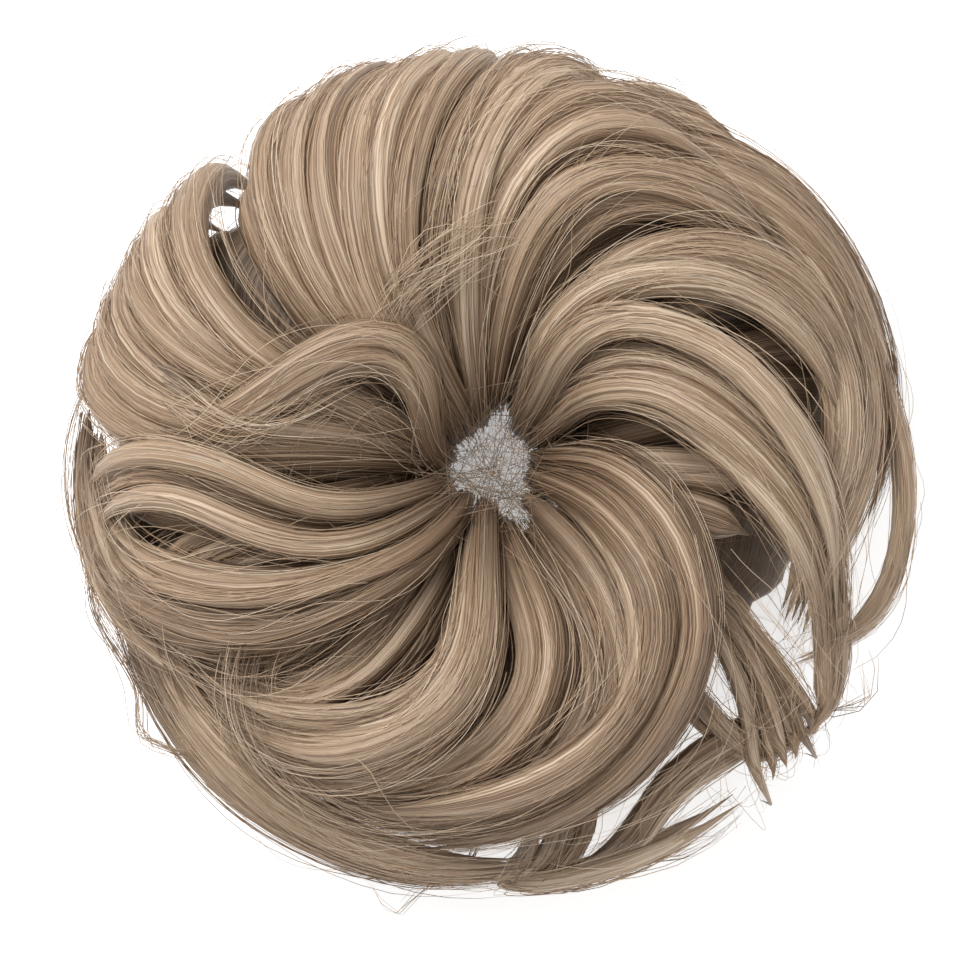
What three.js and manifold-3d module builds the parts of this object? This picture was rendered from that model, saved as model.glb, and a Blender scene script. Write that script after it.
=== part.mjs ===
// A top knot hairpiece: a ring of wavy locks that fits over a bun. An elastic loop carries a
// sewn weft, and the locks rise from the weft, roll over a ring of hair and tuck under it.
// Millimetres, +Z up. The piece lies on its underside, seen from above.
import * as THREE from "three";
import { mergeVertices } from "three/addons/utils/BufferGeometryUtils.js";
import Module from "manifold-3d";

// The ring of hair
const RING_ACROSS = 168; // over the outermost full locks
const RING_HEIGHT = 56; // from the surface it lies on to the top of a lock that isn't lifted
const HOLE_ACROSS = 17; // the gap in the middle, between the locks
const CORE_SINK = 4.5; // from the middle of a lock down to the hair under it
const CORE_SIDES = 10;
const CORE_STEPS = 24;

// A lock of hair
const LOCK_WIDTH = 20;
const LOCK_THICKNESS = 10;
const LOCK_SIDES = 5;
const ROOT_SHARE = 0.9; // of its full size, where a lock leaves the weft
const TIP_SHARE = 0.3;
const TAPER_SPAN = 0.3; // of its length, over which a lock narrows towards each end

// The locks on the underside
const UNDER_LOCKS = 11;
const UNDER_WIDTH = 28;
const UNDER_PRESS = 1; // how far the surface it lies on flattens them
const UNDER_SWEEP = -22; // degrees round the ring, from root to tip

// The elastic loop and the weft that is sewn round it
const LOOP_ACROSS = 42; // to the middle of the elastic
const LOOP_HEIGHT = 11; // of the middle of the elastic above the surface
const ELASTIC_THICKNESS = 4;
const WEFT_WALL = 1.5;
const SEAT_GAP = 0.3;
const LOOP_SIDES = 10;
const WEFT_SIDES = 6; // of the LOOP_SIDES that the weft wraps round, open towards the hole
const LOOP_STEPS = 24;

// The visible locks lie in fans. A fan's locks are spread evenly between its two edges. Each
// row is a station along the fan: degrees round the ring and reach on the first edge, the
// same on the last edge, and lift as a share of the lock's thickness. Reach is 0 at the
// hole and 1 at the rim; under 0 and over 1 it goes on round under the ring.
const FANS = [
  {
    name: "left_side", locks: 3, width: 1.0,
    stations: [
      [165, -0.1, 150, -0.1, 0.0],
      [172, 0.3, 154, 0.25, 0.0],
      [175, 0.6, 154, 0.5, 0.3],
      [170, 0.84, 146, 0.74, 0.3],
      [164, 0.97, 136, 0.93, 0.2],
      [156, 1.12, 126, 1.06, 0.0],
    ],
  },
  {
    name: "top_left", locks: 3, width: 1.05,
    stations: [
      [138, -0.1, 108, -0.1, 0.0],
      [146, 0.28, 112, 0.25, 0.0],
      [144, 0.52, 104, 0.5, 0.3],
      [136, 0.73, 97, 0.7, 0.4],
      [127, 0.91, 91, 0.87, 0.2],
      [116, 1.06, 86, 1.04, 0.0],
    ],
  },
  {
    name: "top_bump", locks: 1, width: 0.9,
    stations: [
      [104, -0.1, 96, -0.1, 0.0],
      [97, 0.35, 92, 0.35, 0.1],
      [93, 0.62, 88, 0.6, 0.4],
      [90, 0.82, 86, 0.78, 0.4],
      [85, 0.94, 83, 0.9, 0.2],
      [78, 1.04, 76, 1.0, 0.0],
    ],
  },
  {
    name: "top_arc", locks: 2, width: 0.8,
    stations: [
      [98, -0.1, 90, -0.1, 0.0],
      [93, 0.4, 86, 0.38, 0.3],
      [86, 0.7, 80, 0.62, 0.6],
      [77, 0.85, 71, 0.76, 0.4],
      [64, 0.93, 61, 0.8, 0.3],
      [51, 0.95, 50, 0.78, 0.1],
    ],
  },
  {
    name: "second_arc", locks: 2, width: 0.8,
    stations: [
      [86, -0.1, 80, -0.1, 0.0],
      [82, 0.36, 76, 0.32, 0.3],
      [75, 0.62, 71, 0.54, 0.8],
      [64, 0.76, 63, 0.66, 0.9],
      [52, 0.83, 53, 0.71, 0.7],
      [40, 0.9, 44, 0.74, 0.4],
      [28, 0.92, 35, 0.76, 0.1],
    ],
  },
  {
    name: "outer_right", locks: 1, width: 1.0,
    stations: [
      [78, 0.55, 72, 0.5, -0.3],
      [66, 0.88, 60, 0.8, 0.0],
      [52, 0.97, 48, 0.88, 0.2],
      [38, 1.0, 34, 0.92, 0.2],
      [24, 1.02, 20, 0.93, 0.1],
      [10, 1.1, 8, 1.0, 0.0],
    ],
  },
  {
    name: "middle_arc", locks: 2, width: 0.9,
    stations: [
      [64, -0.1, 52, -0.1, 0.0],
      [64, 0.3, 58, 0.2, 0.2],
      [58, 0.5, 52, 0.36, 0.6],
      [45, 0.7, 41, 0.53, 1.0],
      [32, 0.8, 28, 0.66, 1.0],
      [18, 0.85, 14, 0.73, 0.7],
      [2, 0.92, 0, 0.8, 0.2],
    ],
  },
  {
    name: "inner_arc", locks: 2, width: 1.0,
    stations: [
      [48, -0.1, 22, -0.1, 0.0],
      [50, 0.26, 28, 0.16, 0.1],
      [40, 0.46, 20, 0.32, 0.6],
      [24, 0.59, 10, 0.47, 0.8],
      [8, 0.66, 0, 0.58, 0.8],
      [-8, 0.75, -8, 0.66, 0.6],
      [-20, 0.86, -18, 0.78, 0.2],
      [-30, 0.96, -27, 0.88, 0.0],
    ],
  },
  {
    name: "right_side", locks: 1, width: 1.0,
    stations: [
      [34, 0.94, 30, 0.86, 0.1],
      [20, 0.98, 16, 0.88, 0.2],
      [6, 0.99, 4, 0.87, 0.2],
      [-6, 0.97, -6, 0.85, 0.2],
      [-16, 0.93, -15, 0.83, 0.1],
      [-24, 0.86, -24, 0.8, -0.1],
    ],
  },
  {
    name: "right_loop", locks: 1, width: 0.45,
    stations: [
      [24, 0.96, 20, 0.92, 0.1],
      [10, 1.0, 8, 1.0, 0.2],
      [-3, 1.02, -4, 1.02, 0.35],
      [-12, 1.02, -13, 1.02, 0.4],
      [-20, 1.02, -20, 1.02, 0.3],
      [-28, 1.0, -27, 0.95, 0.0],
    ],
  },
  {
    name: "right_fall", locks: 2, width: 1.1,
    stations: [
      [8, -0.1, -15, -0.1, 0.0],
      [-6, 0.24, -24, 0.18, 0.3],
      [-20, 0.38, -36, 0.34, 0.8],
      [-34, 0.54, -48, 0.5, 1.0],
      [-47, 0.7, -60, 0.66, 1.0],
      [-64, 0.77, -76, 0.74, 0.9],
      [-84, 0.84, -94, 0.82, 0.7],
      [-104, 0.93, -110, 0.88, 0.4],
      [-120, 1.0, -122, 0.92, 0.0],
    ],
  },
  {
    name: "inner_fall", locks: 1, width: 1.1,
    stations: [
      [-32, -0.1, -56, -0.1, 0.0],
      [-38, 0.22, -60, 0.2, 0.1],
      [-50, 0.44, -60, 0.38, 0.5],
      [-64, 0.62, -68, 0.54, 0.6],
      [-80, 0.72, -80, 0.66, 0.5],
      [-98, 0.8, -96, 0.74, 0.4],
      [-116, 0.84, -112, 0.78, 0.2],
      [-130, 0.86, -126, 0.8, 0.0],
    ],
  },
  {
    name: "centre_fall", locks: 1, width: 0.8,
    stations: [
      [-70, -0.1, -84, -0.1, 0.0],
      [-74, 0.24, -86, 0.26, -0.2],
      [-80, 0.48, -88, 0.46, 0.0],
      [-80, 0.66, -90, 0.62, 0.2],
      [-86, 0.8, -96, 0.76, 0.2],
    ],
  },
  {
    name: "left_fall", locks: 2, width: 0.95,
    stations: [
      [-80, -0.1, -90, -0.1, 0.0],
      [-86, 0.22, -93, 0.16, 0.3],
      [-91, 0.44, -100, 0.34, 0.8],
      [-98, 0.62, -110, 0.5, 1.0],
      [-110, 0.78, -122, 0.64, 0.9],
      [-124, 0.87, -134, 0.75, 0.6],
      [-138, 0.88, -146, 0.78, 0.2],
    ],
  },
  {
    name: "diagonal", locks: 1, width: 1.0,
    stations: [
      [-104, -0.08, -118, -0.08, 0.0],
      [-124, 0.14, -138, 0.16, 0.5],
      [-136, 0.32, -145, 0.32, 1.0],
      [-140, 0.5, -148, 0.48, 1.1],
      [-140, 0.66, -149, 0.62, 0.9],
      [-135, 0.8, -146, 0.74, 0.6],
      [-126, 0.92, -140, 0.86, 0.2],
    ],
  },
  {
    name: "left_loop", locks: 2, width: 0.8,
    stations: [
      [216, -0.06, 226, -0.06, 0.0],
      [206, 0.16, 214, 0.22, 0.3],
      [193, 0.36, 201, 0.42, 0.8],
      [184, 0.58, 192, 0.58, 0.8],
      [181, 0.8, 189, 0.72, 0.5],
      [187, 0.92, 193, 0.84, 0.1],
      [198, 0.9, 200, 0.82, 0.2],
      [207, 0.82, 208, 0.74, 0.4],
      [215, 0.72, 217, 0.6, 0.3],
    ],
  },
  {
    name: "left_curl", locks: 2, width: 0.8,
    stations: [
      [124, -0.06, 160, -0.06, 0.0],
      [116, 0.12, 142, 0.08, 0.6],
      [124, 0.29, 138, 0.2, 1.1],
      [140, 0.38, 150, 0.29, 1.2],
      [157, 0.45, 164, 0.35, 1.1],
      [169, 0.57, 177, 0.43, 0.9],
      [176, 0.72, 183, 0.6, 0.6],
      [178, 0.88, 184, 0.8, 0.1],
      [180, 1.02, 186, 0.96, 0.0],
    ],
  },
  {
    name: "lower_rim", locks: 1, width: 0.95,
    stations: [
      [203, 0.84, 203, 1.0, 0.0],
      [214, 0.88, 216, 1.02, 0.15],
      [226, 0.9, 228, 1.03, 0.25],
      [240, 0.92, 241, 1.03, 0.3],
      [253, 0.95, 253, 1.03, 0.35],
      [266, 0.98, 265, 1.04, 0.1],
    ],
  },
  {
    name: "bottom_curl", locks: 1, width: 0.65,
    stations: [
      [-86, 0.84, -96, 0.9, 0.0],
      [-85, 0.96, -92, 1.02, 0.4],
      [-77, 1.02, -84, 1.06, 0.5],
      [-68, 1.02, -74, 1.08, 0.5],
      [-58, 1.02, -62, 1.08, 0.6],
    ],
  },
  {
    name: "corner_loop", locks: 1, width: 0.6,
    stations: [
      [-46, 0.92, -50, 0.86, -0.2],
      [-57, 0.87, -60, 0.82, 0.0],
      [-66, 0.9, -68, 0.84, 0.0],
      [-71, 0.99, -74, 0.94, 0.1],
      [-76, 1.06, -82, 1.02, 0.1],
    ],
  },
  {
    name: "tip_fan", locks: 2, width: 0.5,
    stations: [
      [-14, 0.46, -22, 0.42, -0.2],
      [-24, 0.64, -30, 0.58, 0.1],
      [-31, 0.8, -36, 0.72, 0.2],
      [-36, 0.94, -40, 0.88, 0.3],
      [-39, 1.02, -43, 1.02, 0.9],
    ],
  },
  {
    name: "right_tail", locks: 1, width: 0.6,
    stations: [
      [-6, 0.8, -10, 0.74, 0.0],
      [-17, 0.88, -19, 0.82, 0.1],
      [-26, 0.95, -27, 0.88, 0.1],
      [-33, 1.0, -33, 0.93, 0.2],
      [-38, 1.05, -37, 0.98, 0.3],
    ],
  },
];

const radians = THREE.MathUtils.degToRad;
const wasm = await Module();
wasm.setup();

// The middle line of a lock that isn't lifted runs on a ring of elliptical section.
const holeRadius = HOLE_ACROSS / 2;
const rimRadius = RING_ACROSS / 2;
const middleRadius = (holeRadius + rimRadius) / 2;
const halfWidth = (rimRadius - holeRadius - LOCK_THICKNESS) / 2;
const halfHeight = (RING_HEIGHT + UNDER_PRESS - LOCK_THICKNESS) / 2;
const middleHeight = halfHeight + LOCK_THICKNESS / 2 - UNDER_PRESS;

// Reach 0 to 1 runs over the top, from the hole to the rim, and folds under at both ends.
function angleOfReach(reach) {
  const folded = reach > 1 ? 2 - reach : Math.abs(reach);
  const angle = Math.acos(THREE.MathUtils.clamp(2 * folded - 1, -1, 1));
  if (reach > 1) return -angle;
  return reach < 0 ? 2 * Math.PI - angle : angle;
}

// A point round the ring at `turn`, round its section at `roll`, `lift` outside its surface.
function ringPoint(turn, roll, lift) {
  const radius = middleRadius + (halfWidth + lift) * Math.cos(roll);
  return new THREE.Vector3(
    radius * Math.cos(turn),
    radius * Math.sin(turn),
    middleHeight + (halfHeight + lift) * Math.sin(roll),
  );
}

function ringNormal(turn, roll) {
  return ringPoint(turn, roll, 1).sub(ringPoint(turn, roll, 0)).normalize();
}

// A closed geometry as a solid, after `place` has moved each of its vertices.
function solidOf(geometry, place = (vertex) => vertex) {
  geometry.deleteAttribute("normal");
  geometry.deleteAttribute("uv");
  const merged = mergeVertices(geometry);
  const positions = merged.getAttribute("position");
  for (let i = 0; i < positions.count; i++) {
    const vertex = place(new THREE.Vector3().fromBufferAttribute(positions, i));
    positions.setXYZ(i, vertex.x, vertex.y, vertex.z);
  }
  return new wasm.Manifold(
    new wasm.Mesh({
      numProp: 3,
      vertProperties: positions.array,
      triVerts: new Uint32Array(merged.index.array),
    }),
  );
}

// The outer shell of a solid, with no air pockets sealed inside it.
function withoutPockets(solid) {
  return solid.decompose().reduce((a, b) => (a.volume() > b.volume() ? a : b));
}

// A lock follows `path`, a curve through (turn, roll, lift). It is a cylinder of unit size
// whose axis is laid along the path, flattened against the ring and narrowed at both ends.
function lock(path, width, thickness, sections) {
  const cylinder = new THREE.CylinderGeometry(1, 1, 1, LOCK_SIDES, sections);
  const step = 0.5 / sections;
  const pointAt = (share) => {
    const at = path.getPoint(THREE.MathUtils.clamp(share, 0, 1));
    return ringPoint(at.x, at.y, at.z);
  };
  return solidOf(cylinder, (vertex) => {
    const along = vertex.y + 0.5;
    const rooted = ROOT_SHARE + (1 - ROOT_SHARE) * THREE.MathUtils.smoothstep(along, 0, TAPER_SPAN);
    const tipped = TIP_SHARE + (1 - TIP_SHARE) * THREE.MathUtils.smoothstep(1 - along, 0, TAPER_SPAN);
    const size = Math.min(rooted, tipped);
    const at = path.getPoint(along);
    const forward = pointAt(along + step).sub(pointAt(along - step)).normalize();
    const side = forward.clone().cross(ringNormal(at.x, at.y)).normalize();
    const up = side.clone().cross(forward);
    return ringPoint(at.x, at.y, at.z)
      .addScaledVector(side, (vertex.x * size * width) / 2)
      .addScaledVector(up, (vertex.z * size * thickness) / 2);
  });
}

// The path of the lock that lies `share` of the way from a fan's first edge to its last.
function pathInFan(fan, share) {
  const { lerp } = THREE.MathUtils;
  return new THREE.CatmullRomCurve3(
    fan.stations.map(([firstDeg, firstReach, lastDeg, lastReach, lift]) => {
      const turn = radians(lerp(firstDeg, lastDeg, share));
      const roll = angleOfReach(lerp(firstReach, lastReach, share));
      return new THREE.Vector3(turn, roll, lift * LOCK_THICKNESS);
    }),
    false,
    "centripetal",
  );
}

function fanLocks(fan) {
  return Array.from({ length: fan.locks }, (_, i) => {
    const share = fan.locks > 1 ? i / (fan.locks - 1) : 0.5;
    const width = fan.width * LOCK_WIDTH;
    return lock(pathInFan(fan, share), width, LOCK_THICKNESS, fan.stations.length);
  });
}

// The underside: locks that run from the weft out to the rim, all alike.
function underLocks() {
  const rolls = [205, 240, 270, 300, 330, 355];
  return Array.from({ length: UNDER_LOCKS }, (_, i) => {
    const start = (2 * Math.PI * i) / UNDER_LOCKS;
    const points = rolls.map((roll, k) => {
      const sweep = radians(UNDER_SWEEP) * (k / (rolls.length - 1) - 0.5);
      return new THREE.Vector3(start + sweep, radians(roll), 0);
    });
    return lock(new THREE.CatmullRomCurve3(points), UNDER_WIDTH, LOCK_THICKNESS, rolls.length);
  });
}

// The hair under the locks: a torus laid on the ring's section, sunk below its surface.
function core() {
  const torus = new THREE.TorusGeometry(2, 1, CORE_SIDES, CORE_STEPS);
  return solidOf(torus, (vertex) => {
    const turn = Math.atan2(vertex.y, vertex.x);
    const roll = Math.atan2(vertex.z, Math.hypot(vertex.x, vertex.y) - 2);
    return ringPoint(turn, roll, -CORE_SINK);
  });
}

// A ring of the given section, turned about the hole's axis at the elastic's height.
function turned(outline) {
  const loop = new THREE.Vector2(LOOP_ACROSS / 2, LOOP_HEIGHT);
  const profile = outline.map((p) => p.clone().add(loop));
  const ring = new THREE.LatheGeometry([...profile, profile[0]], LOOP_STEPS);
  return ring.rotateX(Math.PI / 2);
}

// Points about the elastic's middle, on an arc of so many sides that is open to the hole.
function arc(radius, sides) {
  return Array.from({ length: sides + 1 }, (_, i) => {
    const angle = (2 * Math.PI * (i - sides / 2)) / LOOP_SIDES;
    return new THREE.Vector2(radius * Math.cos(angle), radius * Math.sin(angle));
  });
}

const circle = (radius) => arc(radius, LOOP_SIDES).slice(1);

const elasticRadius = ELASTIC_THICKNESS / 2;
const weftInside = elasticRadius + SEAT_GAP;
const weftOutside = weftInside + WEFT_WALL;

function elasticBand() {
  return solidOf(turned(circle(elasticRadius)));
}

function weft() {
  const inside = arc(weftInside, WEFT_SIDES).reverse();
  return solidOf(turned([...arc(weftOutside, WEFT_SIDES), ...inside]));
}

function hair() {
  const locks = FANS.flatMap(fanLocks);
  const body = wasm.Manifold.union([core(), ...underLocks(), ...locks]);
  const seat = solidOf(turned(circle(weftOutside + SEAT_GAP)));
  const floor = new THREE.BoxGeometry(3 * RING_ACROSS, 3 * RING_ACROSS, RING_HEIGHT);
  floor.translate(0, 0, -RING_HEIGHT / 2);
  return withoutPockets(body.subtract(seat).subtract(solidOf(floor)));
}

function meshOf(name, solid, material) {
  const { vertProperties, triVerts } = solid.getMesh();
  const geometry = new THREE.BufferGeometry();
  geometry.setAttribute("position", new THREE.BufferAttribute(vertProperties, 3));
  geometry.setIndex(new THREE.BufferAttribute(triVerts, 1));
  geometry.computeVertexNormals();
  const mesh = new THREE.Mesh(geometry, material);
  mesh.name = name;
  return mesh;
}

const hairFibre = new THREE.MeshStandardMaterial({ color: 0xb0967a, roughness: 0.45, metalness: 0 });
const weftTape = new THREE.MeshStandardMaterial({ color: 0x8d735a, roughness: 0.8, metalness: 0 });
const elasticCord = new THREE.MeshStandardMaterial({ color: 0x6b5642, roughness: 0.75, metalness: 0 });

const hairpiece = new THREE.Group();
hairpiece.add(
  meshOf("hair", hair(), hairFibre),
  meshOf("weft", weft(), weftTape),
  meshOf("elastic_band", elasticBand(), elasticCord),
);

// The origin is under the middle of the whole piece, on the surface it lies on.
const box = new THREE.Box3().setFromObject(hairpiece);
const middle = box.getCenter(new THREE.Vector3());
hairpiece.children.forEach((mesh) => mesh.position.set(-middle.x, -middle.y, -box.min.z));

export default hairpiece;
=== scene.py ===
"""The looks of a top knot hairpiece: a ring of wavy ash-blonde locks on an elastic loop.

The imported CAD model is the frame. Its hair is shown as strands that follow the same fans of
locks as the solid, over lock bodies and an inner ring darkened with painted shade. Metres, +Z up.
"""

import logging
from dataclasses import dataclass, field
from enum import Enum

import bpy
import numpy as np
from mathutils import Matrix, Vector


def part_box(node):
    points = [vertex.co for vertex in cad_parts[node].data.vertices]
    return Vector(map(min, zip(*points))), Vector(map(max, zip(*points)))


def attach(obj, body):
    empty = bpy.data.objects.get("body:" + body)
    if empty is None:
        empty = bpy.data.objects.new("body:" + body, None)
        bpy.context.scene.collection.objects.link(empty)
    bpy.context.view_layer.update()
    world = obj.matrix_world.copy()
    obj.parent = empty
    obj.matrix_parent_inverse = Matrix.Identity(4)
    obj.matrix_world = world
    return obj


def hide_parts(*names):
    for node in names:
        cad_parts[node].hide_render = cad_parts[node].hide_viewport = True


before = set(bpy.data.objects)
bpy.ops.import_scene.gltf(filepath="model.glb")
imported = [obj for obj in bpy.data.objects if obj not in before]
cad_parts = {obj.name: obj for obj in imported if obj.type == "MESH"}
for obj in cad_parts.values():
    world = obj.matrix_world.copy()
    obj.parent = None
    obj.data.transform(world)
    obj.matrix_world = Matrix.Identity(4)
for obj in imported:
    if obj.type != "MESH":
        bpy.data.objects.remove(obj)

MM = 0.001
ROOT_BODY = "root"
SEED = 41
PHOTO_PIXELS = 958
# Each fibre's noise lies this share of the span on from the last one's.
NOISE_STEP = 0.61803
NOISE_SPAN = 90

log = logging.getLogger("hairpiece")


class Region(Enum):
    """The pieces that the strands are shared out to, by the part of the ring they lie on."""

    UPPER_LEFT = "hair_upper_left"
    UPPER_RIGHT = "hair_upper_right"
    RIGHT = "hair_right"
    BOTTOM = "hair_bottom"
    LEFT = "hair_left"
    UNDERSIDE = "hair_underside"


@dataclass(frozen=True)
class Fan:
    """Locks that lie side by side.

    Each row of `stations` is a place along the fan: degrees round the ring and reach on the
    first edge, the same on the last edge, and lift as a share of a lock's thickness. Reach is
    0 at the hole and 1 at the rim; under 0 and over 1 it goes on round under the ring. `width`
    is a share of the full lock width, `tone` makes the locks lighter or darker, and `loose` is
    how far their strands wander. A fan that isn't `bodied` has strands alone. `uneven` is how
    much the lengths of the strands differ, as a share of the length.
    """

    name: str
    region: Region
    locks: int
    width: float
    stations: tuple[tuple[float, float, float, float, float], ...]
    tone: float = 0.0
    loose: float = 1.0
    bodied: bool = True
    uneven: float = 0.1


# The reach of a root, just under the hole's edge.
ROOT = -0.3

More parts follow.
